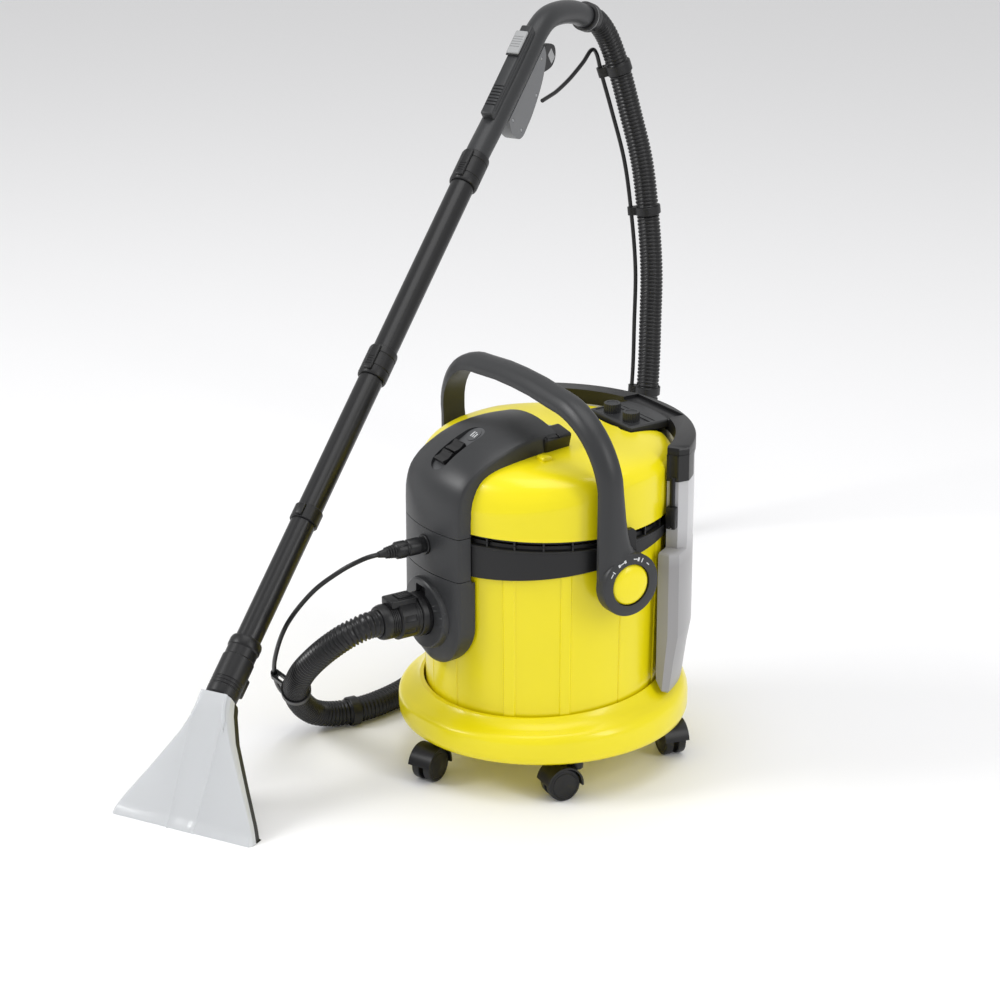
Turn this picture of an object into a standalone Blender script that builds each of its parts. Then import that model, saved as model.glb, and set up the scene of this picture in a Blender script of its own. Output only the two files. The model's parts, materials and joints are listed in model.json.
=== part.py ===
"""Spray-extraction canister cleaner: a tub on five casters, a lift-off motor head with a
carry handle, a rear water tank, and a hose with a wand and a spray floor nozzle.

Metres, +Z up, the machine's inlet faces -Y. The origin is on the floor, under the middle
of the object's bounding box, and MACHINE_AXIS is where the machine's own axis stands.
"""

import math

import bmesh
import bpy
from mathutils import Matrix, Vector

# Driving dimensions, in metres
GAP = 0.0003
MACHINE_AXIS = (0.2133, 0.0444)

RING_HALF_WIDTH = 0.193
RING_HALF_LENGTH = 0.200
RING_BOTTOM = 0.055
PAD_RADIUS = 0.100
PAD_BOTTOM = 0.053
RING_TOP = 0.121
RING_SLANT = 0.070
RING_BORE = 0.1640
TRAY_TOP = 0.072

TUB_FOOT_RADIUS = 0.1600
TUB_RIM_RADIUS = 0.1655
TUB_RIM = 0.352
TUB_WALL = 0.003

BAND_RADIUS = 0.1706
BAND_BOTTOM = 0.3235
BAND_TOP = 0.3565
BAND_SLANT = 0.120

HEAD_BOTTOM = 0.364
HEAD_TOP = 0.466
HEAD_RADIUS = 0.1715
SHELL_WALL = 0.003

COVER_HALF_WIDTH = 0.066
COVER_FRONT = 0.178
COVER_CROWN = 0.011
COVER_SEAM_UPPER = 0.360
COVER_SEAM_LOWER = 0.300
HOUSING_BOTTOM = 0.168

INLET_HEIGHT = 0.240
INLET_BORE = 0.0190
SOCKET_HEIGHT = 0.336

PIVOT_HEIGHT = 0.305
HANDLE_HALF_SPAN = 0.1950
HANDLE_RISE = 0.240
HANDLE_TILT = math.radians(6.5)
HANDLE_DISC_RADIUS = 0.043

CASTER_RADIUS = 0.162
CASTER_TRAIL = 0.022
CASTER_HEADINGS = (-68, -98, -12, 165, 215)
WHEEL_RADIUS = 0.0225

TANK_INNER = 0.1740
TANK_OUTER = 0.2000
TANK_BOTTOM = 0.1310
TANK_SHOULDER = 0.318
TANK_TOP = 0.440
TANK_WALL = 0.0025
TANK_LOWER_HALF_ANGLE = 64
TANK_UPPER_HALF_ANGLE = 56

HOSE_RADIUS = 0.0180
LINE_RADIUS = 0.0032

WAND_FOOT = Vector((-0.0297, -0.5546, 0.0))
WAND_HEADING = Vector((-0.4879, 0.8729, 0.0))
WAND_TILT = math.radians(38.6)
TUBE_RADIUS = 0.0175
TUBE_BORE = 0.0155
SEGMENTS = 32
CORD_STUB = 0.006

YELLOW = ("yellow_plastic", (0.86, 0.76, 0.01), 0.35, 0.0)
GREY = ("dark_grey_plastic", (0.045, 0.046, 0.048), 0.5, 0.0)
BLACK = ("black_plastic", (0.015, 0.015, 0.016), 0.5, 0.0)
RUBBER = ("black_rubber", (0.012, 0.012, 0.012), 0.8, 0.0)
CLEAR = ("clear_plastic", (0.80, 0.82, 0.84), 0.15, 0.0)
SMOKE = ("translucent_grey_plastic", (0.50, 0.50, 0.51), 0.35, 0.0)
LIGHT_GREY = ("light_grey_plastic", (0.32, 0.32, 0.33), 0.45, 0.0)
STEEL = ("steel", (0.55, 0.56, 0.58), 0.35, 1.0)
PAPER = ("filter_paper", (0.80, 0.76, 0.66), 0.9, 0.0)


def clear_scene():
    for obj in list(bpy.data.objects):
        bpy.data.objects.remove(obj)


def finish(spec):
    name, colour, roughness, metallic = spec
    found = bpy.data.materials.get(name)
    if found:
        return found
    made = bpy.data.materials.new(name)
    made.use_nodes = True
    shader = made.node_tree.nodes["Principled BSDF"]
    shader.inputs["Base Color"].default_value = (*colour, 1.0)
    shader.inputs["Roughness"].default_value = roughness
    shader.inputs["Metallic"].default_value = metallic
    return made


def place(name, bm, spec, pivot=(0, 0, 0)):
    """Makes an object whose origin is on its joint's axis, standing in the machine's frame."""
    bmesh.ops.remove_doubles(bm, verts=bm.verts, dist=1e-5)
    bmesh.ops.recalc_face_normals(bm, faces=bm.faces)
    bmesh.ops.translate(bm, verts=bm.verts, vec=-Vector(pivot))
    mesh = bpy.data.meshes.new(name)
    bm.to_mesh(mesh)
    bm.free()
    mesh.shade_smooth()
    mesh.set_sharp_from_angle(angle=math.radians(35))
    mesh.materials.append(finish(spec))
    obj = bpy.data.objects.new(name, mesh)
    bpy.context.scene.collection.objects.link(obj)
    obj.parent = machine
    obj.location = pivot
    return obj


def hide_cutter(obj):
    obj.hide_render = True
    obj.display_type = "WIRE"
    return obj


def cutter(bm):
    return hide_cutter(place("cutter", bm, BLACK))


def combine(obj, other, operation="DIFFERENCE"):
    step = obj.modifiers.new(operation.title(), "BOOLEAN")
    step.solver = "EXACT"
    step.operation = operation
    step.object = other
    return obj


def join(obj, bm):
    return combine(obj, cutter(bm), "UNION")


def cut(obj, bm):
    return combine(obj, cutter(bm))


def spun(profile, segments=SEGMENTS, matrix=None):
    """A closed solid: a closed (radius, height) outline turned about the Z axis."""
    bm = bmesh.new()
    points = [bm.verts.new((radius, 0.0, height)) for radius, height in profile]
    edges = [bm.edges.new((a, b)) for a, b in zip(points, points[1:] + points[:1])]
    bmesh.ops.spin(bm, geom=points + edges, cent=(0, 0, 0), axis=(0, 0, 1),
                   angle=math.tau, steps=segments, use_merge=True)
    bmesh.ops.remove_doubles(bm, verts=bm.verts, dist=1e-5)
    bmesh.ops.dissolve_degenerate(bm, edges=bm.edges, dist=1e-6)
    bmesh.ops.recalc_face_normals(bm, faces=bm.faces)
    if matrix is not None:
        bmesh.ops.transform(bm, matrix=matrix, verts=bm.verts)
    return bm


def rod(start, end, radius, segments=20, tip=None):
    """A round bar, or a cone when tip is given, between two points."""
    start, end = Vector(start), Vector(end)
    along = end - start
    bm = bmesh.new()
    turn = along.to_track_quat("Z", "Y").to_matrix().to_4x4()
    bmesh.ops.create_cone(bm, cap_ends=True, segments=segments, radius1=radius,
                          radius2=radius if tip is None else tip, depth=along.length,
                          matrix=Matrix.Translation((start + end) / 2) @ turn)
    return bm


def block(low, high, rounding=0.0, matrix=None):
    low, high = Vector(low), Vector(high)
    bm = bmesh.new()
    bmesh.ops.create_cube(bm, size=1.0)
    bmesh.ops.scale(bm, verts=bm.verts, vec=high - low)
    bmesh.ops.translate(bm, verts=bm.verts, vec=(low + high) / 2)
    if rounding:
        bmesh.ops.bevel(bm, geom=bm.edges[:], offset=rounding, segments=2, profile=0.5,
                        affect="EDGES", material=-1)
    if matrix is not None:
        bmesh.ops.transform(bm, matrix=matrix, verts=bm.verts)
    return bm


def prism(outline, depth, matrix=None):
    """A flat outline in X and Y, raised along Z by depth."""
    bm = bmesh.new()
    face = bm.faces.new([bm.verts.new((x, y, 0.0)) for x, y in outline])
    raised = bmesh.ops.extrude_face_region(bm, geom=[face])["geom"]
    top = [item for item in raised if isinstance(item, bmesh.types.BMVert)]
    bmesh.ops.translate(bm, verts=top, vec=(0, 0, depth))
    bmesh.ops.recalc_face_normals(bm, faces=bm.faces)
    if matrix is not None:
        bmesh.ops.transform(bm, matrix=matrix, verts=bm.verts)
    return bm


def loft(loops):
    """A closed solid through loops of the same number of points."""
    bm = bmesh.new()
    rows = [[bm.verts.new(point) for point in loop] for loop in loops]
    count = len(rows[0])
    for near, far in zip(rows, rows[1:]):
        for i in range(count):
            j = (i + 1) % count
            bm.faces.new((near[i], near[j], far[j], far[i]))
    bm.faces.new(rows[0])
    bm.faces.new(list(reversed(rows[-1])))
    bmesh.ops.recalc_face_normals(bm, faces=bm.faces)
    return bm


def arc(centre, radius, start, end, steps):
    """Points round a centre, from one angle to another in degrees."""
    angles = [math.radians(start + (end - start) * i / steps) for i in range(steps + 1)]
    return [(centre[0] + radius * math.cos(a), centre[1] + radius * math.sin(a)) for a in angles]


def smooth_route(points, spacing):
    """Points at an even spacing along a smooth curve through the given points."""
    points = [Vector(point) for point in points]
    ends = [2 * points[0] - points[1]] + points + [2 * points[-1] - points[-2]]
    fine = []
    for a, b, c, d in zip(ends, ends[1:], ends[2:], ends[3:]):
        for i in range(16):
            t = i / 16
            fine.append(0.5 * (2 * b + (c - a) * t + (2 * a - 5 * b + 4 * c - d) * t ** 2
                               + (3 * b - a - 3 * c + d) * t ** 3))
    fine.append(points[-1])
    lengths = [0.0]
    for a, b in zip(fine, fine[1:]):
        lengths.append(lengths[-1] + (b - a).length)
    count = max(2, round(lengths[-1] / spacing))
    even, at = [], 0
    for i in range(count + 1):
        target = lengths[-1] * i / count
        while at < len(fine) - 2 and lengths[at + 1] < target:
            at += 1
        step = lengths[at + 1] - lengths[at]
        even.append(fine[at].lerp(fine[at + 1], (target - lengths[at]) / step if step else 0.0))
    return even


def cord(name, points, radius, sides, spacing, spec):
    """A free hose or line: a filled tube along a smooth route, square at both ends."""
    points = [Vector(point) for point in points]
    start = (points[1] - points[0]).normalized()
    end = (points[-1] - points[-2]).normalized()
    route = smooth_route(points, spacing)
    route.insert(1, route[0] + start * CORD_STUB)
    route.insert(-1, route[-1] - end * CORD_STUB)
    curve = bpy.data.curves.new(name, "CURVE")
    curve.dimensions = "3D"
    spline = curve.splines.new("POLY")
    spline.points.add(len(route) - 1)
    for point, at in zip(spline.points, route):
        point.co = (*at, 1.0)
    curve.bevel_depth = radius
    curve.bevel_resolution = sides
    curve.use_fill_caps = True
    curve.materials.append(finish(spec))
    obj = bpy.data.objects.new(name, curve)
    bpy.context.scene.collection.objects.link(obj)
    obj.parent = machine
    return obj


# Base ring, tub and band

def make_base_ring():
    """The bumper ring and tray that carries the tub, the tank and the casters."""
    profile = [(0.0, PAD_BOTTOM), (PAD_RADIUS, PAD_BOTTOM), (PAD_RADIUS + 0.002, RING_BOTTOM),
               (0.181, RING_BOTTOM), (0.189, 0.0585), (0.193, 0.067),
               (0.193, 0.089), (0.186, 0.1015), (0.176, 0.1080), (RING_BORE, RING_TOP),
               (RING_BORE, TRAY_TOP), (0.0, TRAY_TOP)]
    bm = spun(profile)
    stretch = RING_HALF_LENGTH / RING_HALF_WIDTH
    for vert in bm.verts:
        rise = min(1.0, max(0.0, (vert.co.z - 0.088) / (RING_TOP - 0.088)))
        if math.hypot(vert.co.x, vert.co.y) > RING_BORE + GAP:
            vert.co.y *= stretch
        vert.co.z += RING_SLANT * vert.co.y * rise
    ring = place("base_ring", bm, YELLOW)
    for index in range(5):
        stem = caster_stem(index)
        cut(ring, rod(stem + Vector((0, 0, RING_BOTTOM - 0.002)),
                      stem + Vector((0, 0, RING_BOTTOM + 0.0125)), 0.0043, 12))
    return ring


def make_tub():
    """The recovery tub, open at the top, with a hole for the suction inlet."""
    foot = TRAY_TOP + GAP
    inner_foot = TUB_FOOT_RADIUS - TUB_WALL
    profile = [(0.0, foot), (0.150, foot), (TUB_FOOT_RADIUS, foot + 0.010),
               (TUB_RIM_RADIUS, TUB_RIM), (TUB_RIM_RADIUS - TUB_WALL, TUB_RIM),
               (inner_foot, foot + 0.012), (0.148, foot + 0.004), (0.0, foot + 0.004)]
    tub = place("tub", spun(profile), YELLOW)
    return cut(tub, rod((0, -0.185, INLET_HEIGHT), (0, -0.140, INLET_HEIGHT), 0.0275, 24))


def make_tub_band():
    """The black band round the tub's rim. Its lower edge climbs towards the rear."""
    inner = TUB_RIM_RADIUS + 2 * GAP
    profile = [(inner, BAND_BOTTOM), (BAND_RADIUS, BAND_BOTTOM), (BAND_RADIUS, 0.3490),
               (0.1672, BAND_TOP), (0.1625, BAND_TOP), (0.1625, TUB_RIM + GAP),
               (inner, TUB_RIM + GAP)]
    bm = spun(profile)
    for vert in bm.verts:
        if vert.co.z < BAND_BOTTOM + GAP:
            vert.co.z += BAND_SLANT * vert.co.y
    return place("tub_band", bm, BLACK)


def cover_section(half_width, crown, depth):
    """A cover's cross-section in (across, outwards): a crowned front with soft corners."""
    corner = 0.007
    front = [(x, crown * (1 - (x / half_width) ** 2))
             for x in [half_width * f for f in (0.88, 0.6, 0.3, 0.0, -0.3, -0.6, -0.88)]]
    return ([(half_width, -depth), (half_width, -corner * 0.6), (half_width * 0.97, 0.0)] + front
            + [(-half_width * 0.97, 0.0), (-half_width, -corner * 0.6), (-half_width, -depth)])


def cover_strip(path, widths, depth=0.034):
    """A loft of the cover's cross-section along a path of (y, z) points on the middle plane."""
    loops = []
    for index, (y, z) in enumerate(path):
        before, after = path[max(index - 1, 0)], path[min(index + 1, len(path) - 1)]
        along = Vector((0, after[0] - before[0], after[1] - before[1])).normalized()
        outward = Vector((0, -along.z, along.y))
        section = cover_section(widths[index], COVER_CROWN * widths[index] / COVER_HALF_WIDTH, depth)
        loops.append([Vector((x, y, z)) + outward * out for x, out in section])
    return loft(loops)


def make_inlet_housing():
    """The dark housing on the tub's front that carries the suction inlet."""
    path, widths = [], []
    centre = HOUSING_BOTTOM + COVER_HALF_WIDTH * 0.95
    for angle in (10, 22, 38, 55, 75, 90):
        path.append((-COVER_FRONT + 0.004 * (1 - angle / 90),
                     centre - COVER_HALF_WIDTH * 0.95 * math.cos(math.radians(angle))))
        widths.append(COVER_HALF_WIDTH * math.sin(math.radians(angle)))
    path += [(-COVER_FRONT, 0.250), (-COVER_FRONT, COVER_SEAM_LOWER - GAP)]
    widths += [COVER_HALF_WIDTH] * 2
    housing = place("inlet_housing", cover_strip(path, widths), GREY)
    profile = [(0.0, 0.10), (TUB_RIM_RADIUS + GAP, 0.10), (TUB_RIM_RADIUS + GAP, 0.296),
               (BAND_RADIUS + 2 * GAP, 0.296), (BAND_RADIUS + 2 * GAP, 0.330), (0.0, 0.330)]
    cut(housing, spun(profile))
    return cut(housing, rod((0, -0.210, INLET_HEIGHT), (0, -0.120, INLET_HEIGHT), 0.0275, 24))


def make_inlet_collar():
    """The round inlet socket that holds the hose connector, with its stub in the tub."""
    profile = [(INLET_BORE + GAP * 2, -0.208), (0.0300, -0.208), (0.0300, -0.1895),
               (0.0270, -0.1895), (0.0270, -0.1500), (INLET_BORE + GAP * 2, -0.1500)]
    turn = Matrix.Translation((0, 0, INLET_HEIGHT)) @ Matrix.Rotation(-math.pi / 2, 4, "X")
    return place("inlet_collar", spun(profile, 20, turn), BLACK)


def make_inlet_elbow():
    """The pipe inside the tub that turns the incoming dirty water down."""
    radius, wall = 0.0240, 0.0025
    bm = bmesh.new()
    outer = bmesh.ops.create_circle(bm, segments=16, radius=radius)["verts"]
    inner = bmesh.ops.create_circle(bm, segments=16, radius=radius - wall)["verts"]
    rims = [edge for edge in bm.edges]
    faces = bmesh.ops.bridge_loops(bm, edges=rims)["faces"]
    turn = Matrix.Translation((0, -0.1490, INLET_HEIGHT)) @ Matrix.Rotation(math.pi / 2, 4, "X")
    bmesh.ops.transform(bm, matrix=turn, verts=outer + inner)
    bmesh.ops.spin(bm, geom=faces, cent=(0, -0.1490, INLET_HEIGHT - 0.034), axis=(1, 0, 0),
                   angle=-math.radians(80), steps=4)
    return place("inlet_elbow", bm, BLACK)


# Casters

def caster_stem(index):
    angle = math.radians(-90 + 72 * index)
    stretch = RING_HALF_LENGTH / RING_HALF_WIDTH
    return Vector((CASTER_RADIUS * math.cos(angle), CASTER_RADIUS * math.sin(angle) * stretch, 0))


def make_caster(index):
    """A twin-wheel caster: a hood with a web and a stem, and a pair of wheels on one axle."""
    stem = caster_stem(index)
    name = f"caster_{index + 1}"
    heading = Matrix.Rotation(math.radians(CASTER_HEADINGS[index] - 90), 4, "Z")
    sideways = (Matrix.Translation((0, CASTER_TRAIL, WHEEL_RADIUS))
                @ Matrix(((0, 0, 1, 0), (1, 0, 0, 0), (0, 1, 0, 0), (0, 0, 0, 1))))
    shift = Matrix.Translation(stem) @ heading
    axle = shift @ sideways
    hood_outline = arc((0, 0), 0.0265, 172, 20, 7) + arc((0, 0), 0.0240, 20, 172, 7)
    hood = place(name + "_hood", prism(hood_outline, 0.0340, shift @ sideways
                                       @ Matrix.Translation((0, 0, -0.0170))), BLACK,
                 tuple(stem))
    web = arc((0, 0), 0.0252, 168, 25, 6) + arc((0, 0), 0.0075, 25, -192, 6)
    join(hood, prism(web, 0.0050, shift @ sideways @ Matrix.Translation((0, 0, -0.0025))))
    cut(hood, rod(axle @ Vector((0, 0, -0.02)), axle @ Vector((0, 0, 0.02)), 0.0043, 12))
    top = RING_BOTTOM - GAP
    join(hood, rod(stem + Vector((0, 0, top - 0.010)), stem + Vector((0, 0, top)), 0.0085, 16))
    join(hood, rod(stem + Vector((0, 0, top - 0.004)), stem + Vector((0, 0, top + 0.011)),
                   0.0040, 12))
    profile = [(0.0, -0.0150), (0.0200, -0.0150), (WHEEL_RADIUS, -0.0130), (WHEEL_RADIUS, -0.0035),
               (0.0039, -0.0035), (0.0039, 0.0035), (WHEEL_RADIUS, 0.0035), (WHEEL_RADIUS, 0.0130),
               (0.0200, 0.0150), (0.0, 0.0150)]
    place(name + "_wheels", spun(profile, 16, shift @ sideways), RUBBER,
          tuple(axle.translation))


# Motor head

HEAD_PROFILE = [(0.0, HEAD_TOP), (0.070, 0.464), (0.118, 0.4585), (0.144, 0.450), (0.160, 0.435),
                (0.1690, 0.410), (HEAD_RADIUS, 0.380), (HEAD_RADIUS, HEAD_BOTTOM)]


def make_head_shell():
    """The yellow lid over the motor, a thin dome open below."""
    inner = [(HEAD_RADIUS - SHELL_WALL, HEAD_BOTTOM), (HEAD_RADIUS - SHELL_WALL, 0.395),
             (0.1500, 0.4400), (0.1080, 0.4560), (0.0, HEAD_TOP - SHELL_WALL)]
    shell = place("head_shell", spun(HEAD_PROFILE + inner), YELLOW)
    return cut(shell, block((-0.052, 0.1000, 0.4380), (0.052, 0.1740, 0.4700)))


def make_head_ring():
    """The plate under the dome. Its ribs show as the slotted joint above the band."""
    teeth = 26
    outline = []
    for index in range(teeth):
        start = 360 * index / teeth
        for degrees, radius in ((start, 0.1620), (start + 10.6, 0.1620), (start + 10.8, 0.1690),
                                (start + 13.6, 0.1690)):
            angle = math.radians(degrees)
            outline.append((radius * math.cos(angle), radius * math.sin(angle)))
    ring = place("head_ring", prism(outline, 0.0068, Matrix.Translation((0, 0, BAND_TOP + GAP))),
                 BLACK)
    return cut(ring, rod((0, 0, 0.3420), (0, 0, 0.3720), 0.0420, 32))


def make_cover_mid():
    """The middle length of the front cover, with the socket for the spray line."""
    path = [(-COVER_FRONT, COVER_SEAM_LOWER), (-COVER_FRONT, COVER_SEAM_UPPER - GAP)]
    cover = place("cover_mid", cover_strip(path, [COVER_HALF_WIDTH] * 2), GREY)
    cut(cover, spun([(0.0, 0.280), (HEAD_RADIUS + 2 * GAP, 0.280),
                     (HEAD_RADIUS + 2 * GAP, 0.370), (0.0, 0.370)]))
    return cut(cover, rod((0, -0.200, SOCKET_HEIGHT), (0, -0.160, SOCKET_HEIGHT), 0.0102, 20))


COVER_PATH = [(-0.1780, COVER_SEAM_UPPER), (-0.1780, 0.385), (-0.1765, 0.405), (-0.1700, 0.425),
              (-0.1560, 0.441), (-0.1390, 0.452), (-0.1180, 0.462), (-0.0900, 0.4705),
              (-0.0550, 0.4750), (-0.0200, 0.4750)]
SWITCH_CENTRE = Vector((0, -0.1330, 0.4600))
SWITCH_SLOPE = math.radians(30)


def on_slope():
    """The frame of the switch panel: X across, Y up the slope, Z out of it."""
    return Matrix.Translation(SWITCH_CENTRE) @ Matrix.Rotation(SWITCH_SLOPE, 4, "X")


def make_cover_top():
    """The top length of the front cover, over the dome, with the pocket for the switches."""
    widths = [COVER_HALF_WIDTH] * 7 + [0.064, 0.061, 0.057]
    cover = place("cover_top", cover_strip(COVER_PATH, widths), GREY)
    grown = [(radius + (2 * GAP if radius else 0), height + 2 * GAP)
             for radius, height in HEAD_PROFILE[:-1]]
    cut(cover, spun(grown + [(HEAD_RADIUS + 2 * GAP, 0.340), (0.0, 0.340)]))
    stadium = arc((0, 0.024), 0.0165, 0, 180, 8) + arc((0, -0.030), 0.0165, 180, 360, 8)
    return cut(cover, prism(stadium, 0.030, on_slope() @ Matrix.Translation((0, 0, -0.0015))))


def make_rocker(name, along):
    """A rocker of the double switch, tipping about a pin across the cover."""
    outline = [(-0.0090, 0.0010), (0.0090, 0.0010), (0.0090, 0.0065), (0.0040, 0.0052),
               (-0.0040, 0.0052), (-0.0090, 0.0065)]
    turn = Matrix(((0, 0, 1, 0), (1, 0, 0, 0), (0, 1, 0, 0), (0, 0, 0, 1)))
    centre = on_slope() @ Matrix.Translation((0, along, 0.0010))
    pin = centre @ Vector((0, 0, 0.0022))
    bm = prism(outline, 0.0210, centre @ turn @ Matrix.Translation((0, 0, -0.0105)))
    return place(name, bm, BLACK, tuple(pin))


def make_spray_socket():
    """The coupling socket for the spray line, in the middle cover."""
    profile = [(0.0052, -0.1905), (0.0098, -0.1905), (0.0098, -0.1740), (0.0052, -0.1740)]
    turn = Matrix.Translation((0, 0, SOCKET_HEIGHT)) @ Matrix.Rotation(-math.pi / 2, 4, "X")
    return place("spray_socket", spun(profile, 20, turn), BLACK)


def make_motor():
    """The suction motor, standing on its fan housing under the dome."""
    motor = place("motor", spun([(0.0, 0.3980), (0.0460, 0.3980), (0.0480, 0.4000),
                                 (0.0480, 0.4420), (0.0420, 0.4500), (0.0180, 0.4520),
                                 (0.0180, 0.4600), (0.0, 0.4600)], 20), STEEL)
    return motor


def make_fan():
    """The fan housing and the fan that turns inside it."""
    wall = [(0.0200, 0.3640), (0.0620, 0.3640), (0.0620, 0.3975), (0.0100, 0.3975),
            (0.0100, 0.3945), (0.0590, 0.3945), (0.0590, 0.3670), (0.0200, 0.3670)]
    housing = place("fan_housing", spun(wall, 20), STEEL)
    cut(housing, block((0.052, -0.010, 0.3740), (0.070, 0.010, 0.3880)))
    disc = spun([(0.0, 0.3720), (0.0540, 0.3720), (0.0540, 0.3740), (0.0180, 0.3740),
                 (0.0060, 0.3820), (0.0060, 0.3940), (0.0, 0.3940)], 24)
    fan = place("fan", disc, STEEL, (0, 0, 0.3720))
    for index in range(7):
        turn = Matrix.Rotation(math.tau * index / 7, 4, "Z")
        join(fan, block((0.0200, -0.0010, 0.3730), (0.0530, 0.0010, 0.3860), 0.0, turn))
    return fan


def make_float_cage():
    """The cage under the head that holds the float, which shuts the suction when full."""
    cage = place("float_cage", spun([(0.0350, 0.2820), (0.0380, 0.2820), (0.0380, 0.3568),
                                     (0.0412, 0.3568), (0.0412, 0.3636), (0.0300, 0.3636),
                                     (0.0300, 0.3570), (0.0350, 0.3540)], 20), GREY)
    join(cage, spun([(0.0, 0.2780), (0.0380, 0.2780), (0.0380, 0.2825), (0.0, 0.2825)], 20))
    for index in range(4):
        turn = Matrix.Rotation(math.pi * (index + 0.5) / 2, 4, "Z")
        cut(cage, block((0.0250, -0.0170, 0.2920), (0.0450, 0.0170, 0.3420), 0.0, turn))
    return cage


def make_float():
    """The hollow float, a smooth bobbin that rises in its cage."""
    profile = [(0.0, 0.2832), (0.0200, 0.2832), (0.0310, 0.2900), (0.0325, 0.3120),
               (0.0260, 0.3300), (0.0120, 0.3355), (0.0, 0.3360)]
    return place("float", spun(profile, 24), LIGHT_GREY, (0, 0, 0.2832))


def make_filter():
    """The flat-pleated filter ring round the float cage."""
    pleats = 24
    outline = []
    for index in range(pleats):
        for degrees, radius in ((0, 0.0720), (7.5, 0.0640)):
            angle = math.radians(360 * index / pleats + degrees)
            outline.append((radius * math.cos(angle), radius * math.sin(angle)))
    filt = place("filter", prism(outline, 0.0640, Matrix.Translation((0, 0, 0.2910))), PAPER)
    return cut(filt, rod((0, 0, 0.2820), (0, 0, 0.3620), 0.0420, 32))


def make_pump():
    """The spray pump beside the motor, and its outlet to the spray socket."""
    pump = place("pump", block((-0.1200, -0.0300, 0.3645), (-0.0700, 0.0300, 0.4020), 0.003), BLACK)
    join(pump, rod((-0.0950, 0.0, 0.3970), (-0.0950, 0.0, 0.4320), 0.0180, 20))
    return pump


def make_cable_hook():
    """The hook for the mains lead, on the tank's end face above its shoulder."""
    turn = Matrix.Rotation(math.radians(90 - TANK_UPPER_HALF_ANGLE), 4, "Z")
    hook = place("cable_hook", block((0.1760, -0.0110, 0.3480), (0.1900, -GAP, 0.3780), 0.0,
                                     turn), BLACK)
    join(hook, block((0.1800, -0.0055, 0.3600), (0.1860, -0.0006, 0.4180), 0.0015, turn))
    return hook


def make_cable_gland():
    """The gland where the mains lead enters the head. The lead itself isn't modelled."""
    turn = Matrix.Rotation(math.radians(160), 4, "Z")
    gland = place("cable_gland", rod((0.1715 + 2 * GAP, 0, 0.3870), (0.1850, 0, 0.3870), 0.0085, 16),
                  BLACK)
    gland.data.transform(turn)
    cut(gland, rod(turn @ Vector((0.1800, 0, 0.3870)), turn @ Vector((0.2000, 0, 0.3870)),
                   0.0038, 12))
    return gland


# Carry handle

def make_pivot_bracket(side, name):
    """The arm that comes down from the head on each side and carries the handle's pivot."""
    outline = arc((0, 0), 0.0260, 180, 360, 10) + [(0.0220, 0.0680), (-0.0220, 0.0680)]
    stand = Matrix(((0, 0, side, 0.1738 * side), (1, 0, 0, 0), (0, 1, 0, PIVOT_HEIGHT),
                    (0, 0, 0, 1)))
    bracket = place(name, prism(outline, 0.0080, stand), BLACK)
    cut(bracket, rod((0.165 * side, 0, PIVOT_HEIGHT), (0.190 * side, 0, PIVOT_HEIGHT), 0.0083, 16))
    return bracket


def handle_section(centre, inward, width, thickness):
    """A D-shaped ring of points: flat inside, crowned outside, width along Y."""
    half = width / 2
    shape = [(-half, 0.0), (-half, 0.45), (-half * 0.72, 0.9), (-half * 0.3, 1.0),
             (half * 0.3, 1.0), (half * 0.72, 0.9), (half, 0.45), (half, 0.0)]
    return [centre + Vector((0, y, 0)) - inward * thickness * out for y, out in shape]


def make_handle():
    """The bail handle: two legs from the pivot discs into a wide arch over the head."""
    inner = HANDLE_HALF_SPAN - 0.0095
    corner = 0.105
    loops = []
    rise = HANDLE_RISE - corner
    for height, width in ((0.0, 0.060), (0.030, 0.048), (0.080, 0.038), (rise, 0.034)):
        loops.append(handle_section(Vector((inner, 0, height)), Vector((-1, 0, 0)), width, 0.0175))
    for step in range(1, 8):
        angle = math.radians(90 * step / 8)
        outward = Vector((math.cos(angle), 0, math.sin(angle)))
        centre = Vector((inner - corner, 0, rise)) + outward * corner
        loops.append(handle_section(centre, -outward, 0.034 + 0.002 * step / 8, 0.0175 + 0.003 * step / 8))
    half = loops + [handle_section(Vector((inner - corner, 0, HANDLE_RISE)), Vector((0, 0, -1)),
                                   0.036, 0.0205)]
    mirrored = [[Vector((-p.x, p.y, p.z)) for p in loop] for loop in reversed(half)]
    bm = loft(half + mirrored)
    lift = Matrix.Translation((0, 0, PIVOT_HEIGHT))
    lean = lift @ Matrix.Rotation(HANDLE_TILT, 4, "X")
    bmesh.ops.transform(bm, matrix=lean, verts=bm.verts)
    handle = place("carry_handle", bm, GREY, (0, 0, PIVOT_HEIGHT))
    for side in (-1, 1):
        ends = [Vector((side * x, 0, PIVOT_HEIGHT)) for x in (inner, inner + 0.0175)]
        join(handle, rod(*ends, HANDLE_DISC_RADIUS, 28))
        bore = [Vector((side * x, 0, PIVOT_HEIGHT)) for x in (inner - 0.01, inner + 0.03)]
        cut(handle, rod(*bore, 0.0120, 16))
        seat = [Vector((side * x, 0, PIVOT_HEIGHT)) for x in (inner + 0.0125, inner + 0.03)]
        cut(handle, rod(*seat, 0.0284, 24))
    return handle


def make_pivot_cap(side, name):
    """The yellow cap with the pin that carries the handle on its bracket."""
    face = HANDLE_HALF_SPAN - 0.0095 + 0.0125 + GAP
    profile = [(0.0, face + 0.0085), (0.0150, face + 0.0078), (0.0240, face + 0.0055),
               (0.0280, face + 0.0020), (0.0280, face), (0.0116, face), (0.0116, 0.1823),
               (0.0080, 0.1823), (0.0080, 0.1745), (0.0, 0.1745)]
    turn = Matrix.Translation((0, 0, PIVOT_HEIGHT)) @ Matrix.Rotation(side * math.pi / 2, 4, "Y")
    return place(name, spun(profile, 20, turn), YELLOW)


# Water tank

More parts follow.
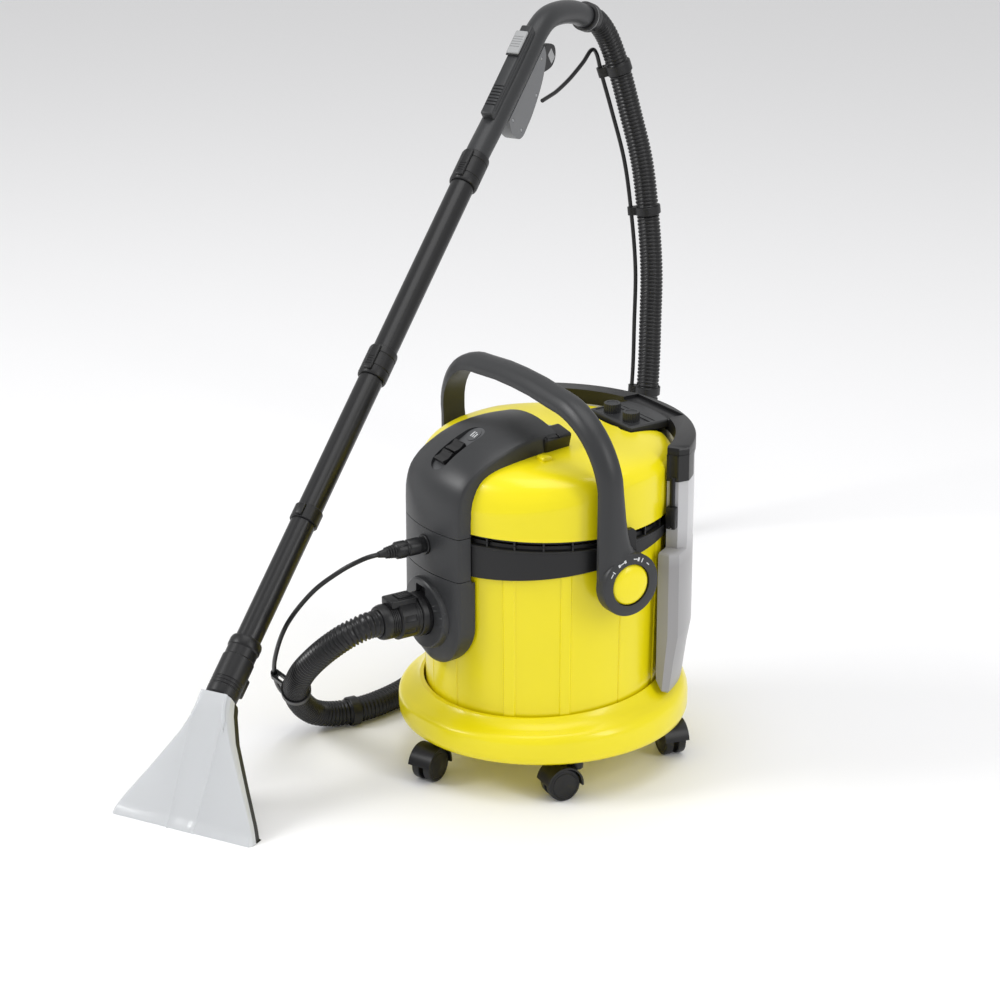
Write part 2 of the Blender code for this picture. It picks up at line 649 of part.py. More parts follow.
def crescent(inner, outer, half_angle):
    """A crescent outline round the rear of the machine, in steps of about 8 degrees."""
    steps = round(half_angle / 4)
    return (arc((0, 0), outer, 90 - half_angle, 90 + half_angle, steps)
            + arc((0, 0), inner, 90 + half_angle, 90 - half_angle, steps))


def crescent_solid(inner, outer, half_angle, low, high):
    return prism(crescent(inner, outer, half_angle), high - low, Matrix.Translation((0, 0, low)))


def tank_solid(inner, outer, rows):
    """A crescent solid lofted over rows of (height, outer radius less, half angle)."""
    steps = round(TANK_LOWER_HALF_ANGLE / 4)
    loops = []
    for height, less, half_angle in rows:
        outline = (arc((0, 0), outer - less, 90 - half_angle, 90 + half_angle, steps)
                   + arc((0, 0), inner, 90 + half_angle, 90 - half_angle, steps))
        loops.append([Vector((x, y, height)) for x, y in outline])
    return loft(loops)


def make_water_tank():
    """The translucent clean-water tank, a crescent that hugs the rear of the tub and head."""
    wall, lower, upper = TANK_WALL, TANK_LOWER_HALF_ANGLE, TANK_UPPER_HALF_ANGLE
    tank = place("water_tank", tank_solid(TANK_INNER, TANK_OUTER, (
        (TANK_BOTTOM, 0.012, lower), (0.195, 0.0, lower), (TANK_SHOULDER - 0.004, 0.0, lower),
        (TANK_SHOULDER + 0.004, 0.0, upper), (TANK_TOP, 0.0, upper))), SMOKE)
    return cut(tank, tank_solid(TANK_INNER + wall, TANK_OUTER - wall, (
        (TANK_BOTTOM + wall, 0.012, lower - 1.6), (0.197, 0.0, lower - 1.6),
        (TANK_SHOULDER - 0.004 - wall, 0.0, lower - 1.6),
        (TANK_SHOULDER + 0.004 - wall, 0.0, upper - 1.4), (TANK_TOP + 0.010, 0.0, upper - 1.4))))


def make_tank_lid():
    """The tank's black lid, a cap over its open top with a skirt inside the neck."""
    lid = place("tank_lid", crescent_solid(TANK_INNER, TANK_OUTER + 0.0010,
                                           TANK_UPPER_HALF_ANGLE + 0.5, TANK_TOP + GAP, 0.4600),
                BLACK)
    skirt = TANK_WALL + 2 * GAP
    join(lid, crescent_solid(TANK_INNER + skirt, TANK_OUTER - skirt, TANK_UPPER_HALF_ANGLE - 3.0,
                             TANK_TOP - 0.004, 0.4500))
    return cut(lid, block((-0.0530, 0.1600, 0.4560), (0.0530, 0.1895, 0.4700)))


def make_tank_coupling():
    """The tank's water coupling: an arm from the lid into the recess in the head."""
    coupling = place("tank_coupling", block((-0.0500, 0.1040, 0.4570), (0.0500, 0.1890, 0.4700),
                                            0.003), GREY)
    for x in (-0.022, 0.022):
        join(coupling, rod((x, 0.1250, 0.4600), (x, 0.1250, 0.4790), 0.0120, 16, 0.0090))
    return coupling


# Hose, spray line and what is on them

HOSE_ROUTE = [(0, -0.2625, 0.240), (0.000, -0.276, 0.240), (-0.003, -0.290, 0.236),
              (-0.014, -0.308, 0.224), (-0.042, -0.324, 0.196), (-0.082, -0.328, 0.158),
              (-0.126, -0.316, 0.118),
              (-0.164, -0.294, 0.082), (-0.193, -0.268, 0.050), (-0.206, -0.243, 0.029),
              (-0.206, -0.215, 0.0200), (-0.202, -0.180, 0.0186), (-0.206, -0.140, 0.0185),
              (-0.224, -0.085, 0.0185), (-0.262, -0.015, 0.0185), (-0.318, 0.075, 0.0185),
              (-0.384, 0.180, 0.0185)]
HOSE_RISE = [(-0.384, 0.180, 0.0185), (-0.4478, 0.2816, 0.0185), (-0.508, 0.400, 0.0190),
             (-0.553, 0.500, 0.030), (-0.580, 0.558, 0.078), (-0.592, 0.588, 0.160),
             (-0.595, 0.599, 0.260), (-0.596, 0.602, 0.350), (-0.597, 0.603, 0.440),
             (-0.602, 0.598, 0.530), (-0.610, 0.590, 0.615), (-0.620, 0.573, 0.695),
             (-0.6258, 0.5560, 0.760), (-0.6290, 0.5360, 0.812), (-0.6270, 0.5142, 0.8406),
             (-0.6157, 0.4938, 0.8491)]


def make_hose():
    cord("suction_hose_lower", HOSE_ROUTE, HOSE_RADIUS, 2, 0.050, RUBBER)
    upper = [Vector(HOSE_RISE[0]) + (Vector(HOSE_RISE[1]) - Vector(HOSE_RISE[0])).normalized() * GAP]
    cord("suction_hose_upper", upper + HOSE_RISE[1:], HOSE_RADIUS, 2, 0.055, RUBBER)


def make_hose_connector():
    """The bayonet connector on the hose's end, plugged into the inlet collar."""
    turn = Matrix.Translation((0, 0, INLET_HEIGHT)) @ Matrix.Rotation(-math.pi / 2, 4, "X")
    profile = [(0.0160, -0.2622), (0.0225, -0.2622), (0.0240, -0.2560), (0.0240, -0.2400),
               (0.0275, -0.2380), (0.0275, -0.2085), (INLET_BORE, -0.2085), (INLET_BORE, -0.1560),
               (0.0165, -0.1560), (0.0165, -0.2400), (0.0160, -0.2400)]
    connector = place("hose_connector", spun(profile, 20, turn), BLACK)
    join(connector, block((-0.0110, -0.2380, INLET_HEIGHT + 0.0230),
                          (0.0110, -0.2090, INLET_HEIGHT + 0.0310)))
    return cut(connector, block((-0.0085, -0.2350, INLET_HEIGHT + 0.0262),
                                (0.0085, -0.2130, INLET_HEIGHT + 0.0350)))


def make_release_button():
    """The button on the connector that frees the bayonet."""
    top = INLET_HEIGHT + 0.0330
    return place("release_button", block((-0.0080, -0.2345, top - 0.0040), (0.0080, -0.2135, top),
                                         0.0008), BLACK, (0, -0.2240, top))


LINE_ROUTE = [(0, -0.2585, 0.336), (0, -0.270, 0.336), (-0.004, -0.284, 0.332),
              (-0.020, -0.306, 0.316), (-0.052, -0.330, 0.281), (-0.096, -0.345, 0.223),
              (-0.140, -0.340, 0.158), (-0.182, -0.317, 0.105), (-0.214, -0.287, 0.065),
              (-0.231, -0.252, 0.036), (-0.232, -0.213, 0.022), (-0.2275, -0.178, 0.0180),
              (-0.2310, -0.143, 0.0175), (-0.2465, -0.095, 0.0175), (-0.2835, -0.028, 0.0175),
              (-0.3390, 0.061, 0.0175), (-0.4050, 0.167, 0.0175)]
LINE_RISE = [(-0.4050, 0.167, 0.0175), (-0.4684, 0.2689, 0.0175), (-0.5290, 0.388, 0.0180),
             (-0.5750, 0.484, 0.029), (-0.6010, 0.543, 0.078), (-0.6110, 0.570, 0.160),
             (-0.6120, 0.580, 0.260), (-0.6120, 0.582, 0.350), (-0.6125, 0.583, 0.440),
             (-0.6175, 0.577, 0.530), (-0.6260, 0.568, 0.615), (-0.6365, 0.550, 0.695),
             (-0.6415, 0.534, 0.752), (-0.6390, 0.522, 0.787), (-0.6260, 0.503, 0.798),
             (-0.6060, 0.474, 0.786), (-0.5830, 0.434, 0.770), (-0.5610, 0.396, 0.7600),
             (-0.5485, 0.3735, 0.7570), (-0.5370, 0.3530, 0.7550)]


def make_spray_line():
    cord("spray_line_lower", LINE_ROUTE, LINE_RADIUS, 2, 0.042, RUBBER)
    upper = [Vector(LINE_RISE[0]) + (Vector(LINE_RISE[1]) - Vector(LINE_RISE[0])).normalized() * GAP]
    cord("spray_line_upper", upper + LINE_RISE[1:], LINE_RADIUS, 2, 0.048, RUBBER)


def make_spray_plug():
    """The ribbed plug of the spray line, pushed into the socket."""
    turn = Matrix.Translation((0, 0, SOCKET_HEIGHT)) @ Matrix.Rotation(-math.pi / 2, 4, "X")
    profile = [(0.0, -0.2582), (0.0050, -0.2582), (0.0065, -0.2480), (0.0090, -0.2460),
               (0.0090, -0.2330), (0.0115, -0.2310), (0.0115, -0.1910), (0.0049, -0.1910),
               (0.0049, -0.1760), (0.0, -0.1760)]
    return place("spray_plug", spun(profile, 20, turn), BLACK)


# Wand

def wand_point(distance, offset=0.0, across=0.0):
    """A point at a distance up the wand's axis, with an offset above it and one across it."""
    start = WAND_FOOT + WAND_HEADING * 0.1716 + Vector((0, 0, 0.1887))
    along = WAND_HEADING * math.cos(WAND_TILT) + Vector((0, 0, math.sin(WAND_TILT)))
    above = Vector((0, 0, math.cos(WAND_TILT))) - WAND_HEADING * math.sin(WAND_TILT)
    side = along.cross(above)
    return start + along * distance + above * offset + side * across


def wand_frame(distance):
    """A frame on the wand: X across, Y above, Z up along the tube."""
    origin = wand_point(distance)
    z = (wand_point(distance + 1) - origin)
    y = (wand_point(distance, 1) - origin)
    x = y.cross(z)
    return Matrix(((x.x, y.x, z.x, origin.x), (x.y, y.y, z.y, origin.y),
                   (x.z, y.z, z.z, origin.z), (0, 0, 0, 1)))


def make_tube(name, start, end, spec=BLACK):
    profile = [(TUBE_BORE, start), (TUBE_RADIUS, start), (TUBE_RADIUS, end), (TUBE_BORE, end)]
    return place(name, spun(profile, 20, wand_frame(0.0)), spec)


def make_coupling(name, start, end, radius=0.0212):
    """A sleeve round a joint of two tubes, with a latch nose on its upper side."""
    bore = TUBE_RADIUS + GAP
    profile = [(bore, start), (radius - 0.0015, start), (radius, start + 0.002),
               (radius, end - 0.002), (radius - 0.0015, end), (bore, end)]
    sleeve = place(name, spun(profile, 20, wand_frame(0.0)), BLACK)
    nose = block((-0.0060, bore + 0.0012, start + 0.004), (0.0060, radius + 0.0040, end - 0.004),
                 0.0, wand_frame(0.0))
    return join(sleeve, nose)


def nozzle_place(along, front, across):
    """A point on the nozzle: along from the mouth to the neck, front of its middle, across."""
    if along == 1.0:
        return wand_point(-0.070, front, across)
    mouth = WAND_FOOT + WAND_HEADING * 0.0240
    axis = wand_point(-0.070) - mouth
    side = WAND_HEADING.cross(Vector((0, 0, 1))).normalized()
    normal = side.cross(axis).normalized()
    point = mouth + axis * along + normal * front + side * across
    return point - axis * ((point.z - GAP) / axis.z) if along == 0.0 else point


NOZZLE_STATIONS = [(0.0, 0.1090, 0.0085), (0.12, 0.0990, 0.0095), (0.40, 0.0700, 0.0120),
                   (0.70, 0.0400, 0.0160), (0.90, 0.0260, 0.0190), (1.0, 0.0225, 0.0200)]


def make_nozzle_cover():
    """The clear flared front of the floor nozzle, a moulded shell open at the mouth."""
    loops = []
    wall = 0.0022
    for along, half, deep in NOZZLE_STATIONS:
        outer = [(-half, -0.001), (-half, deep * 0.7), (-half + deep * 0.5, deep),
                 (half - deep * 0.5, deep), (half, deep * 0.7), (half, -0.001)]
        inner = [(half - wall, -0.001), (half - wall, deep * 0.7 - wall / 2),
                 (half - deep * 0.5 - wall / 2, deep - wall),
                 (-half + deep * 0.5 + wall / 2, deep - wall),
                 (-half + wall, deep * 0.7 - wall / 2), (-half + wall, -0.001)]
        loops.append([nozzle_place(along, front, across) for across, front in outer + inner])
    return place("nozzle_cover", loft(loops), CLEAR)


def make_nozzle_body():
    """The black back of the floor nozzle, a rib-stiffened plate under the clear cover."""
    loops = []
    for along, half, deep in NOZZLE_STATIONS:
        section = [(-half, -0.0013), (half, -0.0013), (half, -0.0130), (half * 0.5, -0.0200),
                   (-half * 0.5, -0.0200), (-half, -0.0130)]
        loops.append([nozzle_place(along, front, across) for across, front in section])
    return place("nozzle_body", loft(loops), BLACK)


def make_nozzle_neck():
    """The sleeve that joins the nozzle to the wand's lower tube."""
    start, end = -0.0690, 0.0200
    profile = [(0.0150, start), (0.0205, start), (0.0225, start + 0.012), (0.0225, end - 0.004),
               (0.0205, end), (TUBE_RADIUS + GAP, end), (TUBE_RADIUS + GAP, -0.0303),
               (0.0150, -0.0303)]
    return place("nozzle_neck", spun(profile, 24, wand_frame(0.0)), BLACK)


def make_spray_jet():
    """The spray jet behind the nozzle's neck, on its bracket."""
    frame = wand_frame(0.0)
    jet = place("spray_jet", block((-0.0080, -0.0380, -0.0480), (0.0080, -0.0228, -0.0200), 0.002,
                                   frame), BLACK)
    return join(jet, rod(frame @ Vector((0, -0.0310, -0.0720)), frame @ Vector((0, -0.0310, -0.0440)),
                         0.0050, 16))


GRIP_START = 0.8325
GRIP_STEP = 0.024
GRIP_PATH = [(0.000, 0.000), (0.025, 0.000), (0.065, -0.002), (0.110, -0.003),
             (0.160, -0.004), (0.207, -0.004), (0.250, -0.003), (0.286, -0.013),
             (0.320, -0.039), (0.350, -0.072), (0.370, -0.103)]


def grip_points():
    return [wand_point(GRIP_START + along, above) for along, above in GRIP_PATH]


def ring_at(centre, along, radius, count=24):
    across = (wand_point(0, 0, 1) - wand_point(0)).normalized()
    upward = across.cross(along).normalized()
    return [centre + across * radius * math.cos(math.tau * i / count)
            + upward * radius * math.sin(math.tau * i / count) for i in range(count)]


def make_grip_tube():
    """The bent suction tube that the hand holds, with the rail that carries the air slider."""
    route = smooth_route(grip_points(), GRIP_STEP)
    loops = []
    for index, point in enumerate(route):
        along = (route[min(index + 1, len(route) - 1)] - route[max(index - 1, 0)]).normalized()
        loops.append(ring_at(point, along, 0.0178 if index else 0.0172, 16))
    grip = place("grip_tube", loft(loops), GREY)
    return join(grip, block((-0.0095, 0.0050, 0.0700), (0.0095, 0.0279, 0.2380), 0.003,
                            wand_frame(GRIP_START)))


def end_frame():
    """The frame at the grip's far end: Z runs on towards the hose."""
    route = smooth_route(grip_points(), GRIP_STEP)
    along = (route[-1] - route[-2]).normalized()
    return Matrix.Translation(route[-1]) @ along.to_track_quat("Z", "Y").to_matrix().to_4x4()


def make_hose_cuff():
    """The collar that lets the hose swivel on the grip."""
    profile = [(0.0, GAP), (0.0215, GAP), (0.0225, 0.003), (0.0225, 0.020), (0.0205, 0.026),
               (0.0, 0.026)]
    origin = end_frame() @ Vector((0, 0, GAP))
    return place("hose_cuff", spun(profile, 24, end_frame()), BLACK, tuple(origin))


def make_air_slider():
    """The grey slider on the grip that bleeds air to soften the suction."""
    frame = wand_frame(GRIP_START)
    return place("air_slider", block((-0.0110, 0.0282, 0.1780), (0.0110, 0.0345, 0.2230), 0.0025, frame),
                 LIGHT_GREY, tuple(frame @ Vector((0, 0.031, 0.200))))


def make_valve_housing():
    """The flat grey housing of the spray valve, screwed under the grip."""
    outline = [(-0.0235, 0.1000), (-0.0400, 0.0940), (-0.0700, 0.1020), (-0.0770, 0.1150),
               (-0.0750, 0.1500), (-0.0660, 0.1900), (-0.0520, 0.2220), (-0.0370, 0.2400),
               (-0.0235, 0.2430)]
    turn = Matrix(((0, 0, 1, 0), (1, 0, 0, 0), (0, 1, 0, 0), (0, 0, 0, 1)))
    frame = wand_frame(GRIP_START) @ turn @ Matrix.Translation((0, 0, -0.0100))
    housing = place("valve_housing", prism(outline, 0.0200, frame), LIGHT_GREY)
    slot = block((-0.0045, -0.0800, 0.2050), (0.0045, -0.0260, 0.2600), 0.0,
                 wand_frame(GRIP_START))
    return cut(housing, slot)


def make_trigger():
    """The spray trigger, a lever hinged in the valve housing."""
    outline = [(-0.0280, 0.2320), (-0.0360, 0.2240), (-0.0560, 0.2160), (-0.0780, 0.2480),
               (-0.0760, 0.2640), (-0.0600, 0.2740), (-0.0400, 0.2600)]
    turn = Matrix(((0, 0, 1, 0), (1, 0, 0, 0), (0, 1, 0, 0), (0, 0, 0, 1)))
    frame = wand_frame(GRIP_START) @ turn @ Matrix.Translation((0, 0, -0.0038))
    pivot = wand_frame(GRIP_START) @ Vector((0, -0.0350, 0.2320))
    return place("trigger", prism(outline, 0.0076, frame), BLACK, tuple(pivot))


def make_wand():
    make_nozzle_cover()
    make_nozzle_body()
    make_nozzle_neck()
    make_spray_jet()
    make_tube("lower_tube", -0.0300, 0.4720)
    make_tube("upper_tube", 0.4723, 0.8320)
    make_coupling("middle_coupling", 0.4480, 0.4960)
    make_coupling("upper_coupling", 0.7900, 0.8440)
    make_grip_tube()
    make_hose_cuff()
    make_air_slider()
    make_valve_housing()
    make_trigger()


clear_scene()
machine = bpy.data.objects.new("machine", None)
bpy.context.scene.collection.objects.link(machine)
machine.location = (*MACHINE_AXIS, 0.0)

make_base_ring()
make_tub()
make_tub_band()
make_inlet_housing()
make_inlet_collar()
make_inlet_elbow()
for number in range(5):
    make_caster(number)
make_head_shell()
make_head_ring()
make_cover_mid()
make_cover_top()
make_rocker("rocker_spray", -0.0250)
make_rocker("rocker_suction", -0.0045)
make_spray_socket()
make_motor()
make_fan()
make_float_cage()
make_float()
make_filter()
make_pump()
make_cable_hook()
make_cable_gland()
make_pivot_bracket(1, "pivot_bracket_left")
make_pivot_bracket(-1, "pivot_bracket_right")
make_handle()
make_pivot_cap(1, "pivot_cap_left")
make_pivot_cap(-1, "pivot_cap_right")
make_water_tank()
make_tank_lid()
make_tank_coupling()
make_hose()
make_hose_connector()
make_release_button()
make_spray_line()
make_spray_plug()
make_wand()
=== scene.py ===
"""Looks for a spray-extraction canister cleaner: a yellow tub on casters with a domed motor
head, a rear water tank, a ridged hose, and a wand with a clear spray floor nozzle.
"""

import json
import math

import bmesh
import bpy
from mathutils import Matrix, Vector


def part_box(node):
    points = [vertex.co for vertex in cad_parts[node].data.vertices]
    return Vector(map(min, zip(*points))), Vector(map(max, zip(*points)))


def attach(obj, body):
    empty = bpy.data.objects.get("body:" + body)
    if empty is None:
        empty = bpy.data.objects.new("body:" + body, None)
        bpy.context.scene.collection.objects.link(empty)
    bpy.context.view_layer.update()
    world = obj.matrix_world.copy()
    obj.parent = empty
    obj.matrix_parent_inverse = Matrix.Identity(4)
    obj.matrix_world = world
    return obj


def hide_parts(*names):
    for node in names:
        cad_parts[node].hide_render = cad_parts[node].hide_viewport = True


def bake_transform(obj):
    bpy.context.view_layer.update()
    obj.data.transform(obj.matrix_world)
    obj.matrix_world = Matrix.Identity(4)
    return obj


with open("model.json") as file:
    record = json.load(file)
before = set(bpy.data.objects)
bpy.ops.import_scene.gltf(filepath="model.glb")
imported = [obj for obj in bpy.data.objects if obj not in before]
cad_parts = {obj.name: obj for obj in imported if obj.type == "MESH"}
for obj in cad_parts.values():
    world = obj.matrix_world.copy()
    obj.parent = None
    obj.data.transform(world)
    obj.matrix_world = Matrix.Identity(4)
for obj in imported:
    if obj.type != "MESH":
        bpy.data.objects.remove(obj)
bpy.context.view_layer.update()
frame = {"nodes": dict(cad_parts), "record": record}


# Studio: a pale sweep of floor, one camera with a long lens, and large soft lights.
# The machine's own upright axis is the middle of its tub.

tub_low, tub_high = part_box("tub")
machine = Vector(((tub_low.x + tub_high.x) / 2, (tub_low.y + tub_high.y) / 2, 0.0))

camera_data = bpy.data.cameras.new("camera")
camera_data.lens = 110.1
camera_data.sensor_width = 36.0
camera_data.clip_end = 200.0
camera = bpy.data.objects.new("camera", camera_data)
bpy.context.scene.collection.objects.link(camera)
camera_turn, camera_rise, camera_distance = math.radians(57.0), math.radians(20.5), 4.1
camera_aim = machine + Vector((-0.0324, -0.0498, 0.3592))
camera_back = Vector((math.sin(camera_turn) * math.cos(camera_rise),
                      -math.cos(camera_turn) * math.cos(camera_rise), math.sin(camera_rise)))
camera.location = camera_aim + camera_back * camera_distance
camera.rotation_euler = (-camera_back).to_track_quat("-Z", "Y").to_euler()
bpy.context.scene.camera = camera

floor_finish = bpy.data.materials.new("pale_floor")
floor_finish.use_nodes = True
floor_shader = floor_finish.node_tree.nodes["Principled BSDF"]
floor_shader.inputs["Base Color"].default_value = (0.93, 0.93, 0.94, 1.0)
floor_shader.inputs["Roughness"].default_value = 0.75
floor_bm = bmesh.new()
bmesh.ops.create_grid(floor_bm, x_segments=2, y_segments=2, size=40.0)
floor_mesh = bpy.data.meshes.new("floor")
floor_bm.to_mesh(floor_mesh)
floor_bm.free()
floor_mesh.materials.append(floor_finish)
floor = bpy.data.objects.new("floor", floor_mesh)
bpy.context.scene.collection.objects.link(floor)

studio = bpy.data.worlds.new("studio")
studio.use_nodes = True
studio.node_tree.nodes["Background"].inputs["Color"].default_value = (1.0, 1.0, 1.0, 1.0)
studio.node_tree.nodes["Background"].inputs["Strength"].default_value = 0.62
bpy.context.scene.world = studio
bpy.context.scene.view_settings.view_transform = "Standard"


def softbox(name, place, width, height, power):
    """A large soft light at a place, turned to face the machine."""
    light = bpy.data.lights.new(name, "AREA")
    light.shape = "RECTANGLE"
    light.size = width
    light.size_y = height
    light.energy = power
    lamp = bpy.data.objects.new(name, light)
    bpy.context.scene.collection.objects.link(lamp)
    lamp.location = camera_aim + Vector(place)
    lamp.rotation_euler = Vector(place).to_track_quat("Z", "Y").to_euler()


softbox("key", (-1.6, -3.2, 2.6), 1.6, 1.4, 78)
softbox("side", (3.2, 1.2, 1.8), 0.8, 2.4, 34)
softbox("top", (0.2, 0.3, 3.4), 2.6, 2.6, 46)


# Suction hose: about 2 m of ridged plastic hose, 36 mm across. It leaves the connector on
# the inlet, turns down to the floor, runs past the machine and rises to the wand's grip.

def smooth_run(points, spacing):
    """Points at an even spacing along a smooth line through the given ones."""
    points = [Vector(point) for point in points]
    ends = [2 * points[0] - points[1]] + points + [2 * points[-1] - points[-2]]
    fine = []
    for a, b, c, d in zip(ends, ends[1:], ends[2:], ends[3:]):
        for i in range(64):
            t = i / 64
            fine.append(0.5 * (2 * b + (c - a) * t + (2 * a - 5 * b + 4 * c - d) * t ** 2
                               + (3 * b - a - 3 * c + d) * t ** 3))
    fine.append(points[-1])
    lengths = [0.0]
    for a, b in zip(fine, fine[1:]):
        lengths.append(lengths[-1] + (b - a).length)
    count = max(2, round(lengths[-1] / spacing))
    even, at = [], 0
    for i in range(count + 1):
        target = lengths[-1] * i / count
        while at < len(fine) - 2 and lengths[at + 1] < target:
            at += 1
        step = lengths[at + 1] - lengths[at]
        even.append(fine[at].lerp(fine[at + 1], (target - lengths[at]) / step if step else 0.0))
    return even


def moulded_plastic(name, colour, roughness, grain=0.25, tone=0.06, coat=0.0, grain_size=1400.0):
    """Moulded plastic: a fine spark-eroded grain, with slightly uneven gloss and tone."""
    material = bpy.data.materials.new(name)
    material.use_nodes = True
    nodes, links = material.node_tree.nodes, material.node_tree.links
    shader = nodes["Principled BSDF"]
    shader.inputs["Coat Weight"].default_value = coat
    shader.inputs["Coat Roughness"].default_value = 0.12
    shader.inputs["Specular IOR Level"].default_value = 0.38
    place = nodes.new("ShaderNodeTexCoord")
    cloud = nodes.new("ShaderNodeTexNoise")
    cloud.inputs["Scale"].default_value = 14.0
    cloud.inputs["Detail"].default_value = 3.0
    links.new(place.outputs["Object"], cloud.inputs["Vector"])
    tint = nodes.new("ShaderNodeMix")
    tint.data_type = "RGBA"
    tint.inputs["A"].default_value = (*[part * (1 - tone) for part in colour], 1.0)
    tint.inputs["B"].default_value = (*[min(1.0, part * (1 + tone)) for part in colour], 1.0)
    links.new(cloud.outputs["Fac"], tint.inputs["Factor"])
    links.new(tint.outputs["Result"], shader.inputs["Base Color"])
    gloss = nodes.new("ShaderNodeMapRange")
    gloss.inputs["To Min"].default_value = roughness * 0.88
    gloss.inputs["To Max"].default_value = roughness * 1.12
    links.new(cloud.outputs["Fac"], gloss.inputs["Value"])
    links.new(gloss.outputs["Result"], shader.inputs["Roughness"])
    pits = nodes.new("ShaderNodeTexNoise")
    pits.inputs["Scale"].default_value = grain_size
    pits.inputs["Detail"].default_value = 2.0
    links.new(place.outputs["Object"], pits.inputs["Vector"])
    relief = nodes.new("ShaderNodeBump")
    relief.inputs["Strength"].default_value = grain
    relief.inputs["Distance"].default_value = 0.0002
    links.new(pits.outputs["Fac"], relief.inputs["Height"])
    links.new(relief.outputs["Normal"], shader.inputs["Normal"])
    return material


hose_plastic = moulded_plastic("hose_plastic", (0.009, 0.009, 0.010), 0.30, grain=0.12)

hose_diameter = 0.036
ridge_pitch = 0.0060
hose_points = [(0, -0.2625, 0.240), (0.000, -0.276, 0.240), (-0.003, -0.290, 0.236),
               (-0.014, -0.308, 0.224), (-0.042, -0.324, 0.196), (-0.082, -0.328, 0.158),
               (-0.126, -0.316, 0.118), (-0.164, -0.294, 0.082), (-0.193, -0.268, 0.050),
               (-0.206, -0.243, 0.029), (-0.206, -0.215, 0.0200), (-0.202, -0.180, 0.0186),
               (-0.206, -0.140, 0.0185), (-0.224, -0.085, 0.0185), (-0.262, -0.015, 0.0185),
               (-0.318, 0.075, 0.0185), (-0.384, 0.180, 0.0185), (-0.4478, 0.2816, 0.0185),
               (-0.508, 0.400, 0.0190), (-0.553, 0.500, 0.030), (-0.580, 0.558, 0.078),
               (-0.592, 0.588, 0.160), (-0.595, 0.599, 0.260), (-0.596, 0.602, 0.350),
               (-0.597, 0.603, 0.440), (-0.602, 0.598, 0.530), (-0.610, 0.590, 0.615),
               (-0.620, 0.573, 0.695), (-0.6258, 0.5560, 0.760), (-0.6290, 0.5360, 0.812),
               (-0.6270, 0.5142, 0.8406), (-0.6157, 0.4938, 0.8491)]
hose_run = smooth_run([Vector(point) + machine for point in hose_points], ridge_pitch / 5)
ridge_shape = (1.0, 1.0, 0.96, 0.86, 0.86)


def tube_mesh(name, run, radius, shape, sides, finish):
    """A tube along a run of points, its radius following the shape over and over."""
    curve = bpy.data.curves.new(name, "CURVE")
    curve.dimensions = "3D"
    curve.bevel_depth = radius
    curve.bevel_resolution = sides
    curve.use_fill_caps = True
    line = curve.splines.new("POLY")
    line.points.add(len(run) - 1)
    for number, (point, at) in enumerate(zip(line.points, run)):
        point.co = (*at, 1.0)
        point.radius = shape[number % len(shape)]
    guide = bpy.data.objects.new(name + "_guide", curve)
    bpy.context.scene.collection.objects.link(guide)
    bpy.context.view_layer.update()
    mesh = bpy.data.meshes.new_from_object(
        guide.evaluated_get(bpy.context.evaluated_depsgraph_get()))
    bpy.data.objects.remove(guide)
    mesh.materials.clear()
    mesh.materials.append(finish)
    mesh.shade_smooth()
    piece = bpy.data.objects.new(name, mesh)
    bpy.context.scene.collection.objects.link(piece)
    return piece


suction_hose = tube_mesh("suction_hose", hose_run, hose_diameter / 2, ridge_shape, 7,
                         hose_plastic)
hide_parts("suction_hose_lower", "suction_hose_upper")
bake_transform(suction_hose)


# Spray line: a thin black pressure hose beside the suction hose, from its plug on the
# front cover to the valve under the grip. Its two lengths meet on the floor.

line_plastic = moulded_plastic("line_plastic", (0.007, 0.007, 0.008), 0.30, grain=0.08)
line_diameter = 0.0064
lower_line_points = [(0, -0.2585, 0.336), (0, -0.270, 0.336), (-0.004, -0.284, 0.332),
                     (-0.020, -0.306, 0.316), (-0.052, -0.330, 0.281), (-0.096, -0.345, 0.223),
                     (-0.140, -0.340, 0.158), (-0.182, -0.317, 0.105), (-0.214, -0.287, 0.065),
                     (-0.231, -0.252, 0.036), (-0.232, -0.213, 0.022), (-0.2275, -0.178, 0.0180),
                     (-0.2310, -0.143, 0.0175), (-0.2465, -0.095, 0.0175),
                     (-0.2835, -0.028, 0.0175), (-0.3390, 0.061, 0.0175),
                     (-0.4050, 0.167, 0.0175)]
upper_line_points = [(-0.4050, 0.167, 0.0175), (-0.4684, 0.2689, 0.0175),
                     (-0.5290, 0.388, 0.0180), (-0.5750, 0.484, 0.029), (-0.6010, 0.543, 0.078),
                     (-0.6110, 0.570, 0.160), (-0.6120, 0.580, 0.260), (-0.6120, 0.582, 0.350),
                     (-0.6125, 0.583, 0.440), (-0.6175, 0.577, 0.530), (-0.6260, 0.568, 0.615),
                     (-0.6365, 0.550, 0.695), (-0.6415, 0.534, 0.752), (-0.6390, 0.522, 0.787),
                     (-0.6260, 0.503, 0.798), (-0.6060, 0.474, 0.786), (-0.5830, 0.434, 0.770),
                     (-0.5610, 0.396, 0.7600), (-0.5485, 0.3735, 0.7570),
                     (-0.5370, 0.3530, 0.7550)]
lower_line_run = smooth_run([Vector(point) + machine for point in lower_line_points], 0.006)
upper_line_run = smooth_run([Vector(point) + machine for point in upper_line_points], 0.006)
spray_line_low = tube_mesh("spray_line_low", lower_line_run, line_diameter / 2, (1.0,), 4,
                           line_plastic)
spray_line_high = tube_mesh("spray_line_high", upper_line_run, line_diameter / 2, (1.0,), 4,
                            line_plastic)
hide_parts("spray_line_lower")
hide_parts("spray_line_upper")
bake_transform(spray_line_low)
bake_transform(spray_line_high)


# Hose clips: black straps that snap round the hose and hold the spray line beside it.

